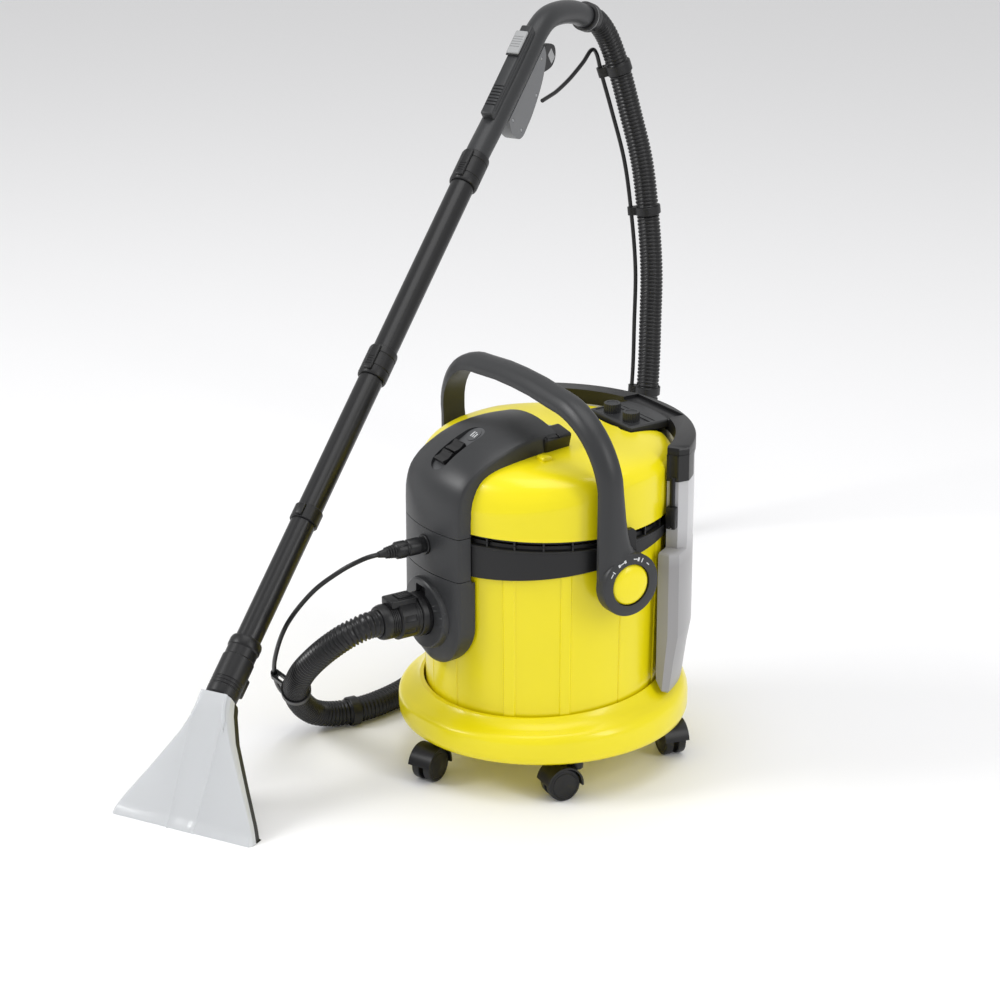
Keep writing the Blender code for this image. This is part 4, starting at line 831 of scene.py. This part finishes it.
def bail_section(place, inward, front, back, thick):
    """Points round the bail: flat inside, with a bevelled front edge and a crowned face."""
    shape = ((0.0, 0.0), (0.0, 0.30), (0.05, 0.52), (0.20, 0.84), (0.30, 0.95), (0.45, 1.0),
             (0.62, 1.0), (0.80, 0.93), (0.92, 0.76), (0.99, 0.50), (1.0, 0.28), (1.0, 0.0),
             (0.80, -0.02), (0.20, -0.02))
    return [place + Vector((0, front + (back - front) * across, 0)) - inward * thick * out
            for across, out in shape]


def on_both_sides(bm):
    """A solid and its mirror image across the machine's middle."""
    bmesh.ops.mirror(bm, geom=bm.verts[:] + bm.edges[:] + bm.faces[:], merge_dist=-1.0, axis="X")
    return raise_solid(bm)


bail_corner, bail_top, bail_thick = 0.094, 0.228, 0.0175
legs = [(0.000, -0.0420, 0.0300), (0.022, -0.0405, 0.0270), (0.040, -0.0385, 0.0170),
        (0.052, -0.0370, 0.0105), (0.068, -0.0352, 0.0080), (0.090, -0.0325, 0.0070),
        (0.120, -0.0290, 0.0068), (bail_top - bail_corner, -0.0275, 0.0068)]
half_bail = [bail_section(Vector((handle_inner, 0, height)), Vector((-1, 0, 0)), front, back,
                          bail_thick) for height, front, back in legs]
for step in range(1, 12):
    turn = math.radians(90 * step / 12)
    outward = Vector((math.cos(turn), 0, math.sin(turn)))
    place = (Vector((handle_inner - bail_corner, 0, bail_top - bail_corner)) + outward * bail_corner
             - Vector((0, 0, 0.006 * math.sin(turn))))
    half_bail.append(bail_section(place, -outward, -0.0275, 0.0075,
                                  bail_thick + 0.003 * step / 12))
half_bail.append(bail_section(Vector((handle_inner - bail_corner, 0, bail_top - 0.006)),
                              Vector((0.06, 0, -1)).normalized(), -0.0275, 0.0080, 0.0205))
half_bail.append(bail_section(Vector((0.040, 0, bail_top - 0.001)),
                              Vector((0.04, 0, -1)).normalized(), -0.0275, 0.0080, 0.0205))
whole = half_bail + [bail_section(Vector((0, 0, bail_top)), Vector((0, 0, -1)), -0.0275, 0.0080,
                                  0.0205)]
whole += [[Vector((-point.x, point.y, point.z)) for point in loop] for loop in half_bail[::-1]]
bail = lofted(whole, handle_lean)
disc_turn = laid(z=pivot_height, about="Y", degrees=90)
rim = handle_inner + bail_thick + 0.0002
clearing = turned([(0.0, handle_inner - 0.01), (0.0350, handle_inner - 0.01),
                   (0.0350, rim + 0.01), (0.0, rim + 0.01)], 96, disc_turn)
disc = turned([(0.0120, handle_inner - 0.0002), (disc_radius, handle_inner - 0.0002),
               (disc_radius, rim - 0.0022), (disc_radius - 0.0007, rim - 0.0008),
               (disc_radius - 0.0024, rim), (0.0286, rim), (0.0286, handle_inner + 0.0125),
               (0.0120, handle_inner + 0.0125)], 96, disc_turn)
bail = fitted(fitted(bail, on_both_sides(clearing)), on_both_sides(disc), "UNION")
set_down("bail_handle", bail, soft_grey, "handle", "dark_grey_plastic", "carry_handle",
         edge=0.0008)

for side, name, node in ((1, "handle_cap_left", "pivot_cap_left"),
                         (-1, "handle_cap_right", "pivot_cap_right")):
    face = handle_inner + 0.0128
    cap = turned([(0.0, face + 0.0078), (0.0100, face + 0.0076), (0.0180, face + 0.0068),
                  (0.0235, face + 0.0052), (0.0264, face + 0.0034), (0.0276, face + 0.0018),
                  (0.0280, face), (0.0116, face), (0.0116, 0.1823), (0.0080, 0.1823),
                  (0.0080, 0.1745), (0.0, 0.1745)], 72,
                 laid(z=pivot_height, about="Y", degrees=90 * side))
    set_down(name, cap, gloss_yellow, "handle", "yellow_plastic", node)

marks = bmesh.new()
for side in (-1, 1):
    face = handle_inner + bail_thick
    for around, long, wide, off in ((-58, 0.0060, 0.0014, 0), (-50, 0.0014, 0.0050, 0),
                                    (-24, 0.0100, 0.0014, 0), (-24, 0.0030, 0.0040, 0.005),
                                    (-24, 0.0030, 0.0040, -0.005), (10, 0.0060, 0.0014, 0),
                                    (18, 0.0030, 0.0052, 0), (28, 0.0016, 0.0058, 0),
                                    (46, 0.0052, 0.0014, 0)):
        mark = bmesh.ops.create_cube(marks, size=1.0)["verts"]
        bmesh.ops.scale(marks, verts=mark, vec=(0.0006 + 0.04 * abs(off), long, wide))
        bmesh.ops.translate(marks, verts=mark, vec=(side * face, off, 0.0356))
        bmesh.ops.rotate(marks, verts=mark, cent=(0, 0, 0),
                         matrix=Matrix.Rotation(math.radians(-around), 3, "X"))
bmesh.ops.translate(marks, verts=marks.verts, vec=(0, 0, pivot_height))
set_down("handle_marks", marks, off_white, "handle", "light_grey_plastic")

for side, node in ((1, "pivot_bracket_left"), (-1, "pivot_bracket_right")):
    outline = bow(0.0260, 180, 360, 24) + [(0.0220, 0.0640), (0.0180, 0.0680), (-0.0180, 0.0680),
                                           (-0.0220, 0.0640)]
    stand = Matrix(((0, 0, side, 0.1738 * side), (1, 0, 0, 0), (0, 1, 0, pivot_height),
                    (0, 0, 0, 1)))
    arm = pressed(outline, 0.0080, stand)
    bore = turned([(0.0, 0.165), (0.0083, 0.165), (0.0083, 0.19), (0.0, 0.19)], 40,
                  laid(z=pivot_height, about="Y", degrees=90 * side))
    set_down(f"handle_arm_{'left' if side > 0 else 'right'}", fitted(arm, bore), satin_black,
             "motor_head", "black_plastic", node, edge=0.0008)


# Water tank: a milky grey blow-moulded crescent that hangs behind the tub. Its lower body
# has cut corners and a drawn-in foot, and its neck is slimmer and paler.

def milky_plastic(name, low_colour, high_colour, low, high, roughness=0.32):
    """Milky plastic that grows paler with height, as the empty tank's neck does."""
    material = moulded_plastic(name, low_colour, roughness, grain=0.10, tone=0.0, coat=0.2)
    nodes, links = material.node_tree.nodes, material.node_tree.links
    shader = nodes["Principled BSDF"]
    place = nodes.new("ShaderNodeTexCoord")
    split = nodes.new("ShaderNodeSeparateXYZ")
    links.new(place.outputs["Object"], split.inputs["Vector"])
    ramp = nodes.new("ShaderNodeMapRange")
    ramp.inputs["From Min"].default_value = low
    ramp.inputs["From Max"].default_value = high
    links.new(split.outputs["Z"], ramp.inputs["Value"])
    tint = nodes.new("ShaderNodeMix")
    tint.data_type = "RGBA"
    tint.inputs["A"].default_value = (*low_colour, 1.0)
    tint.inputs["B"].default_value = (*high_colour, 1.0)
    links.new(ramp.outputs["Result"], tint.inputs["Factor"])
    links.new(tint.outputs["Result"], shader.inputs["Base Color"])
    return material


tank_milk = milky_plastic("tank_milk", (0.30, 0.295, 0.30), (0.50, 0.50, 0.515), 0.30, 0.345)
tank_inner, upper_half = 0.1740, 56


def crescent(inner, outer, half, cut=3.2):
    """A crescent outline behind the machine, with its outer corners cut off."""
    outside = bow(outer, 90 - half + cut, 90 + half - cut, 64)
    inside = bow(inner, 90 + half, 90 - half, 64)
    corner = inner + 0.62 * (outer - inner)
    ends = [(corner * math.cos(math.radians(90 + side * half)),
             corner * math.sin(math.radians(90 + side * half))) for side in (1, -1)]
    return outside + [ends[0]] + inside + [ends[1]]


def tank_shell(rows):
    """A crescent solid skinned over rows of (height, outer radius, half angle)."""
    return lofted([[Vector((x, y, height)) for x, y in crescent(tank_inner, outer, half)]
                   for height, outer, half in rows])


lower_tank = tank_shell([(0.1310, 0.1830, 62.6), (0.1325, 0.1862, 63.4), (0.1360, 0.1885, 63.9),
                         (0.1650, 0.1945, 64), (0.1950, 0.1995, 64), (0.2000, 0.2000, 64),
                         (0.3120, 0.2000, 64), (0.3158, 0.1988, 63.7), (0.3176, 0.1965, 63.1),
                         (0.3182, 0.1930, 62.2)])
bmesh.ops.triangulate(lower_tank, faces=[face for face in lower_tank.faces
                                         if len(face.verts) > 4])
for vert in lower_tank.verts:
    if vert.co.z < 0.150:
        reach = math.hypot(vert.co.x, vert.co.y)
        vert.co.z -= 0.018 * min(1.0, max(0.0, (reach - tank_inner) / 0.011))
neck_of_tank = tank_shell([(0.3100, 0.1990, upper_half), (0.3300, 0.2000, upper_half),
                           (0.4400, 0.2000, upper_half)])
set_down("tank_shell", joined(lower_tank, neck_of_tank), tank_milk, "tank",
         "translucent_grey_plastic", "water_tank", edge=0.0012)

lid_black = moulded_plastic("lid_black", (0.010, 0.010, 0.011), 0.34, grain=0.2, tone=0.05)
lid = tank_shell([(0.4403, 0.2008, 56.4), (0.4420, 0.2012, 56.6), (0.4560, 0.2012, 56.6),
                  (0.4585, 0.2002, 56.3), (0.4600, 0.1975, 55.6)])
lid = fitted(lid, brick((-0.0530, 0.1600, 0.4560), (0.0530, 0.1895, 0.4700)))
for side in (-1, 1):
    end_face = math.radians(90 + side * 57.2)
    sector = (bow(0.2014, 90 + side * 46.0, 90 + side * 53.6, 6)
              + [(0.1910 * math.cos(end_face), 0.1910 * math.sin(end_face))]
              + bow(0.1742, 90 + side * 57.2, 90 + side * 46.0, 6))
    cheek = pressed(sector, 0.0360, laid(z=0.4130))
    lid = joined(lid, cheek)
    lid = fitted(lid, brick((0.1775, -0.0011, 0.4175), (0.1885, 0.0011, 0.4520), 0.0008,
                            Matrix.Rotation(end_face, 4, "Z")))
set_down("tank_cap", lid, lid_black, "tank", "black_plastic", "tank_lid", edge=0.0010)

coupling = brick((-0.0480, 0.1050, 0.4440), (0.0480, 0.1800, 0.4560), 0.0028)
coupling = fitted(coupling, brick((-0.0420, 0.1100, 0.4546), (0.0420, 0.1420, 0.4580), 0.0006))
coupling = fitted(coupling, brick((-0.0420, 0.1480, 0.4548), (0.0420, 0.1500, 0.4580)))
for x in (-0.022, 0.022):
    lobes = [(reach * math.cos(math.tau * step / 48), reach * math.sin(math.tau * step / 48))
             for step, reach in enumerate((0.0113 + 0.0005, 0.0113 - 0.0005) * 24)]
    coupling = joined(coupling, pressed(lobes, 0.0200, laid(x, 0.1250, 0.4480)))
    coupling = fitted(coupling, turned([(0.0, 0.4670), (0.0080, 0.4670), (0.0080, 0.4700),
                                        (0.0, 0.4700)], 40, laid(x, 0.1250, 0)))
set_down("tank_yoke", coupling, soft_grey, "tank", "dark_grey_plastic", "tank_coupling",
         edge=0.0006)

hook_turn = Matrix.Rotation(math.radians(90 - upper_half), 4, "Z")
hook = brick((0.1760, -0.0110, 0.3480), (0.1900, -0.0003, 0.3780), 0.0015, hook_turn)
hook = joined(hook, brick((0.1795, -0.0058, 0.3560), (0.1862, -0.0006, 0.4180), 0.0016,
                          hook_turn))
hook = fitted(hook, turned([(0.0, -0.02), (0.0021, -0.02), (0.0021, 0.02), (0.0, 0.02)], 20,
                           hook_turn @ laid(0.1830, -0.0060, 0.3500, "X", 90)))
set_down("lead_hook", hook, satin_black, "tank", "black_plastic", "cable_hook", edge=0.0004)

gland_turn = Matrix.Rotation(math.radians(160), 4, "Z") @ laid(z=0.3870, about="Y", degrees=90)
gland = [(0.0038, 0.1712), (0.0098, 0.1712), (0.0098, 0.1740), (0.0085, 0.1748)]
for ring in range(3):
    start = 0.1752 + ring * 0.0032
    crest, root = 0.0085 - ring * 0.0008, 0.0068 - ring * 0.0008
    gland += [(crest, start), (crest, start + 0.0018), (root, start + 0.0020),
              (root, start + 0.0031)]
gland += [(0.0046, 0.1850), (0.0038, 0.1850)]
set_down("lead_gland", turned(gland, 40, gland_turn), hard_rubber, "motor_head", "black_plastic",
         "cable_gland", edge=0.0003)


# Wand tubes: two black pushed-together pipes on one sloping axis, with latched sleeves at
# their joints and a fine moulding line down each side.

wand_foot = Vector((-0.0297, -0.5546, 0.0))
wand_heading = Vector((-0.4879, 0.8729, 0.0))
wand_tilt = math.radians(38.6)
wand_start = wand_foot + wand_heading * 0.1716 + Vector((0, 0, 0.1887))
wand_along = wand_heading * math.cos(wand_tilt) + Vector((0, 0, math.sin(wand_tilt)))
wand_above = Vector((0, 0, math.cos(wand_tilt))) - wand_heading * math.sin(wand_tilt)
wand_side = wand_along.cross(wand_above)


def wand_point(distance, offset=0.0, across=0.0):
    """A point up the wand's axis, with an offset above it and one across it."""
    return wand_start + wand_along * distance + wand_above * offset + wand_side * across


def wand_frame(distance):
    """A frame on the wand: X across, Y above, Z up along the tube."""
    origin, across = wand_point(distance), wand_above.cross(wand_along)
    return Matrix(((across.x, wand_above.x, wand_along.x, origin.x),
                   (across.y, wand_above.y, wand_along.y, origin.y),
                   (across.z, wand_above.z, wand_along.z, origin.z), (0, 0, 0, 1)))


wand_place = wand_frame(0.0)
tube_radius = 0.0175
gloss_black = moulded_plastic("gloss_black", (0.012, 0.012, 0.013), 0.30, grain=0.06, tone=0.05)
for name, node, start, end in (("wand_tube_low", "lower_tube", -0.0300, 0.4720),
                               ("wand_tube_high", "upper_tube", 0.4723, 0.8320)):
    pipe = turned([(0.0155, start), (tube_radius - 0.0008, start), (tube_radius, start + 0.0008),
                   (tube_radius, end - 0.0008), (tube_radius - 0.0008, end), (0.0155, end)], 72,
                  wand_place)
    for x in (-0.01752, 0.01752):
        pipe = fitted(pipe, brick((x - 0.0003, -0.0004, start + 0.03),
                                  (x + 0.0003, 0.0004, end - 0.03), 0.0, wand_place))
    set_down(name, pipe, gloss_black, "wand", "black_plastic", node)

for name, node, start, end in (("wand_latch_low", "middle_coupling", 0.4480, 0.4960),
                               ("wand_latch_high", "upper_coupling", 0.7900, 0.8440)):
    outline = [(tube_radius + 0.0003, start), (0.0196, start), (0.0206, start + 0.0010),
               (0.0212, start + 0.0040), (0.0212, start + 0.0120), (0.0204, start + 0.0128),
               (0.0204, start + 0.0144), (0.0212, start + 0.0152), (0.0212, end - 0.0140),
               (0.0204, end - 0.0132), (0.0204, end - 0.0118), (0.0212, end - 0.0110),
               (0.0212, end - 0.0035), (0.0204, end - 0.0008), (0.0194, end),
               (tube_radius + 0.0003, end)]
    sleeve = turned(outline, 72, wand_place)
    sleeve = joined(sleeve, brick((-0.0062, 0.0192, start + 0.0040), (0.0062, 0.0250, end - 0.0040),
                                  0.0018, wand_place))
    for groove in range(4):
        at = start + 0.0110 + groove * 0.0040
        sleeve = fitted(sleeve, brick((-0.0050, 0.0244, at), (0.0050, 0.0262, at + 0.0014), 0.0,
                                      wand_place))
    set_down(name, sleeve, satin_black, "wand", "black_plastic", node, edge=0.0004)


line_ring = turned([(tube_radius + 0.0002, 0.2080), (0.0196, 0.2080), (0.0202, 0.2090),
                    (0.0202, 0.2290), (0.0196, 0.2300), (tube_radius + 0.0002, 0.2300)], 64,
                   wand_place)
line_ring = joined(line_ring, brick((-0.0050, 0.0190, 0.2100), (0.0050, 0.0236, 0.2280), 0.0016,
                                    wand_place))
set_down("wand_clip", line_ring, satin_black, "wand", "black_plastic", edge=0.0003)


# Floor nozzle: a clear flared cover over a black back, which narrow from a wide slot on the
# floor to a round neck. Two curved ribs bound the raised channel in the cover's middle.

nozzle_stations = ((0.0, 0.1090, 0.0085), (0.12, 0.0990, 0.0095), (0.40, 0.0700, 0.0120),
                   (0.70, 0.0400, 0.0160), (0.90, 0.0260, 0.0190), (1.0, 0.0225, 0.0200))
nozzle_top = -0.070


def nozzle_point(along, front, across):
    """A point on the nozzle: along from the mouth to the neck, front of its middle, across."""
    if along >= 1.0:
        return wand_point(nozzle_top, front, across)
    mouth = wand_foot + wand_heading * 0.0240
    axis = wand_point(nozzle_top) - mouth
    side = wand_heading.cross(Vector((0, 0, 1))).normalized()
    front_way = side.cross(axis).normalized()
    point = mouth + axis * along + front_way * front + side * across
    return point - axis * ((point.z - 0.0003) / axis.z) if along == 0.0 else point


def nozzle_width(along):
    """The nozzle's half width and depth at a place along it."""
    for (a, half_a, deep_a), (b, half_b, deep_b) in zip(nozzle_stations, nozzle_stations[1:]):
        if along <= b:
            part = (along - a) / (b - a)
            return half_a + (half_b - half_a) * part, deep_a + (deep_b - deep_a) * part
    return nozzle_stations[-1][1:]


clear_plastic = moulded_plastic("clear_cover", (0.84, 0.86, 0.88), 0.20, grain=0.05, tone=0.02)
clear_shader = clear_plastic.node_tree.nodes["Principled BSDF"]
clear_shader.inputs["Transmission Weight"].default_value = 0.40
clear_shader.inputs["IOR"].default_value = 1.46
cover_loops, back_loops = [], []
for step in range(25):
    along = (step / 24) ** 1.25
    half, deep = nozzle_width(along)
    channel = min(0.78 * half, 0.020 + 0.004 * along)
    rim = 0.0016 if step < 2 else 0.0
    outer = [(-half, -0.0010), (-half, deep * 0.60), (-half + deep * 0.16, deep * 0.86),
             (-half + deep * 0.48, deep + rim), (-channel - 0.0030, deep + rim),
             (-channel, deep + 0.0016 + rim), (-channel + 0.0030, deep + 0.0004 + rim),
             (-channel * 0.4, deep + 0.0006 + rim), (channel * 0.4, deep + 0.0006 + rim),
             (channel - 0.0030, deep + 0.0004 + rim), (channel, deep + 0.0016 + rim),
             (channel + 0.0030, deep + rim), (half - deep * 0.48, deep + rim),
             (half - deep * 0.16, deep * 0.86), (half, deep * 0.60), (half, -0.0010)]
    inner = [(across * (half - 0.0022) / half, max(-0.0010, front - 0.0022 if front > 0 else front))
             for across, front in outer[::-1]]
    cover_loops.append([nozzle_point(along, front, across) for across, front in outer + inner])
    section = [(-half, -0.0013), (half, -0.0013), (half, -0.0125), (half * 0.94, -0.0140),
               (half * 0.5, -0.0196), (half * 0.4, -0.0200), (-half * 0.4, -0.0200),
               (-half * 0.5, -0.0196), (-half * 0.94, -0.0140), (-half, -0.0125)]
    back_loops.append([nozzle_point(along, front, across) for across, front in section])
set_down("nozzle_window", lofted(cover_loops), clear_plastic, "wand", "clear_plastic",
         "nozzle_cover")
set_down("nozzle_back", trimmed_at_floor(lofted(back_loops)), satin_black, "wand",
         "black_plastic", "nozzle_body", edge=0.0006)

neck_outline = [(0.0150, -0.0690), (0.0208, -0.0690), (0.0222, -0.0670), (0.0225, -0.0590)]
for ring in range(3):
    start = -0.0560 + ring * 0.0050
    neck_outline += [(0.0225, start), (0.0216, start + 0.0006), (0.0216, start + 0.0018),
                     (0.0225, start + 0.0024)]
neck_outline += [(0.0225, -0.0100), (0.0212, -0.0085), (0.0212, 0.0040), (0.0222, 0.0055),
                 (0.0225, 0.0070), (0.0225, 0.0150), (0.0215, 0.0185), (0.0205, 0.0200),
                 (tube_radius + 0.0003, 0.0200), (tube_radius + 0.0003, -0.0303),
                 (0.0150, -0.0303)]
set_down("nozzle_collar", turned(neck_outline, 72, wand_place), satin_black, "wand",
         "black_plastic", "nozzle_neck", edge=0.0003)

jet = brick((-0.0080, -0.0380, -0.0480), (0.0080, -0.0228, -0.0200), 0.0022, wand_place)
jet = joined(jet, turned([(0.0, -0.0720), (0.0036, -0.0720), (0.0050, -0.0700), (0.0050, -0.0560),
                          (0.0042, -0.0552), (0.0042, -0.0528), (0.0050, -0.0520),
                          (0.0050, -0.0440), (0.0, -0.0440)], 32,
                         wand_place @ laid(y=-0.0310)))
set_down("jet_block", jet, satin_black, "wand", "black_plastic", "spray_jet", edge=0.0003)


# Grip: a bent dark grey pipe at the wand's top, with a notched rail along its upper side
# for the pale air slider.

grip_start = 0.8325
grip_path = ((0.000, 0.000), (0.025, 0.000), (0.065, -0.002), (0.110, -0.003), (0.160, -0.004),
             (0.207, -0.004), (0.250, -0.003), (0.286, -0.013), (0.320, -0.039), (0.350, -0.072),
             (0.370, -0.103))
grip_run = smooth_run([wand_point(grip_start + along, above) + machine
                       for along, above in grip_path], 0.006)
grip_pipe = tube_mesh("grip_pipe", grip_run, 0.0178, (1.0,), 14, soft_grey)
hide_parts("grip_tube")
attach(grip_pipe, "wand")

grip_place = wand_frame(grip_start)
rail = brick((-0.0095, 0.0050, 0.0700), (0.0095, 0.0279, 0.2380), 0.0030, grip_place)
for notch_number in range(7):
    at = 0.0860 + notch_number * 0.0058
    rail = fitted(rail, brick((-0.0120, 0.0262, at), (0.0120, 0.0300, at + 0.0022), 0.0,
                              grip_place))
for x in (-1, 1):
    rail = fitted(rail, brick((x * 0.0095 - 0.0006, 0.0205, 0.0800),
                              (x * 0.0095 + 0.0006, 0.0218, 0.2280), 0.0, grip_place))
set_down("grip_rail", rail, soft_grey, "wand", "dark_grey_plastic", edge=0.0005)

light_grey = moulded_plastic("light_grey", (0.34, 0.345, 0.35), 0.42, grain=0.2, tone=0.04)
slider_cap = brick((-0.0098, 0.0296, 0.1795), (0.0098, 0.0345, 0.2215), 0.0020, grip_place)
for groove in range(5):
    at = 0.1900 + groove * 0.0046
    slider_cap = fitted(slider_cap, brick((-0.0075, 0.0338, at), (0.0075, 0.0360, at + 0.0018),
                                          0.0, grip_place))
set_down("slider_cap", slider_cap, light_grey, "air_slider", "light_grey_plastic", "air_slider",
         edge=0.0004)
set_down("slider_rim", brick((-0.0110, 0.0283, 0.1780), (0.0110, 0.0300, 0.2230), 0.0006,
                             grip_place), satin_black, "air_slider", "black_plastic")


# Spray valve: a flat mid-grey housing screwed together under the grip, with the lever that
# opens it. The lever carries a paler paddle for the fingers.

mid_grey = moulded_plastic("mid_grey", (0.155, 0.158, 0.165), 0.42, grain=0.25, tone=0.05)
housing_outline = smooth_run([Vector((0, *point)) for point in
                              ((-0.0235, 0.1000), (-0.0400, 0.0945), (-0.0560, 0.0962),
                               (-0.0700, 0.1030), (-0.0765, 0.1150), (-0.0762, 0.1320),
                               (-0.0750, 0.1500), (-0.0710, 0.1710), (-0.0660, 0.1900),
                               (-0.0598, 0.2075), (-0.0520, 0.2220), (-0.0450, 0.2325),
                               (-0.0370, 0.2395), (-0.0235, 0.2430))], 0.004)
valve = pressed([(point.y, point.z) for point in housing_outline], 0.0200,
                grip_place @ side_ways @ laid(z=-0.0100))
for half, low, start, high, end in ((0.0045, -0.0800, 0.2050, -0.0260, 0.2600),
                                    (0.0002, -0.0900, 0.0900, -0.0600, 0.2100)):
    valve = fitted(valve, brick((-half, low, start), (half, high, end), 0.0, grip_place))
screw_places = [grip_place @ laid(0, above, along, "Y", 90 * x)
                for x in (-1, 1)
                for above, along in ((-0.0330, 0.1080), (-0.0650, 0.1160), (-0.0620, 0.1800),
                                     (-0.0320, 0.2250))]
for screw_place in screw_places:
    valve = fitted(valve, turned([(0.0, 0.0092), (0.0030, 0.0092), (0.0030, 0.0110),
                                  (0.0, 0.0110)], 28, screw_place))
set_down("valve_case", valve, mid_grey, "wand", "light_grey_plastic", "valve_housing",
         edge=0.0014)
screws = bmesh.new()
screw_steel = moulded_plastic("screw_steel", (0.42, 0.43, 0.44), 0.30, grain=0.1, tone=0.05)
screw_steel.node_tree.nodes["Principled BSDF"].inputs["Metallic"].default_value = 1.0
for screw_place in screw_places:
    made = bmesh.ops.create_cone(screws, cap_ends=True, segments=24, radius1=0.0026,
                                 radius2=0.0022, depth=0.0008)["verts"]
    bmesh.ops.transform(screws, verts=made, matrix=screw_place @ laid(z=0.0096))
set_down("valve_screws", screws, screw_steel, "wand", "steel")

lever_outline = smooth_run([Vector((0, *point)) for point in
                            ((-0.0280, 0.2320), (-0.0360, 0.2240), (-0.0455, 0.2195),
                             (-0.0560, 0.2170), (-0.0680, 0.2310), (-0.0770, 0.2480),
                             (-0.0760, 0.2620), (-0.0690, 0.2700), (-0.0600, 0.2730),
                             (-0.0500, 0.2690), (-0.0400, 0.2600), (-0.0330, 0.2460))], 0.003)
lever = pressed([(point.y, point.z) for point in lever_outline], 0.0076,
                grip_place @ side_ways @ laid(z=-0.0038))
set_down("spray_lever", lever, satin_black, "trigger", "black_plastic", "trigger", edge=0.0008)
paddle = brick((-0.0042, -0.0740, 0.2480), (0.0042, -0.0520, 0.2645), 0.0024, grip_place)
set_down("lever_paddle", paddle, light_grey, "trigger", "light_grey_plastic", edge=0.0003)


# Hose cuff: the black swivel collar between grip and hose, with one thin pale ring.

cuff_along = (grip_run[-1] - grip_run[-2]).normalized()
cuff_place = (Matrix.Translation(grip_run[-1] - machine)
              @ cuff_along.to_track_quat("Z", "Y").to_matrix().to_4x4())
set_down("cuff_body", turned([(0.0, 0.0003), (0.0205, 0.0003), (0.0218, 0.0012), (0.0225, 0.0030),
                              (0.0225, 0.0080), (0.0216, 0.0086), (0.0216, 0.0104),
                              (0.0225, 0.0110), (0.0225, 0.0200), (0.0214, 0.0238),
                              (0.0205, 0.0260), (0.0, 0.0260)], 72, cuff_place),
         satin_black, "hose_cuff", "black_plastic", "hose_cuff", edge=0.0003)
set_down("cuff_ring", turned([(0.0210, 0.0088), (0.0221, 0.0088), (0.0221, 0.0102),
                              (0.0210, 0.0102)], 72, cuff_place), light_grey, "hose_cuff",
         "light_grey_plastic")


# Inside the machine: motor and fan, float and its cage, filter, pump and inlet elbow. Their
# shapes are carried over, each in its own plastic, metal or paper.

motor_steel = moulded_plastic("motor_steel", (0.50, 0.51, 0.53), 0.34, grain=0.15, tone=0.05)
motor_steel.node_tree.nodes["Principled BSDF"].inputs["Metallic"].default_value = 1.0
filter_paper = moulded_plastic("filter_paper", (0.78, 0.74, 0.64), 0.85, grain=0.7, tone=0.06,
                               grain_size=600.0)
inner_finishes = {"steel": motor_steel, "filter_paper": filter_paper,
                  "light_grey_plastic": light_grey, "black_plastic": satin_black,
                  "black_rubber": hard_rubber, "dark_grey_plastic": soft_grey,
                  "yellow_plastic": gloss_yellow, "translucent_grey_plastic": tank_milk,
                  "clear_plastic": clear_plastic}
slots = {row["node"]: row["material_slot"] for row in frame["record"]["subparts"]}
for node in ("motor", "fan", "fan_housing", "float_cage", "float", "filter", "pump",
             "inlet_elbow"):
    kept = frame["nodes"][node].data
    kept.materials.clear()
    kept.materials.append(inner_finishes[slots[node]])
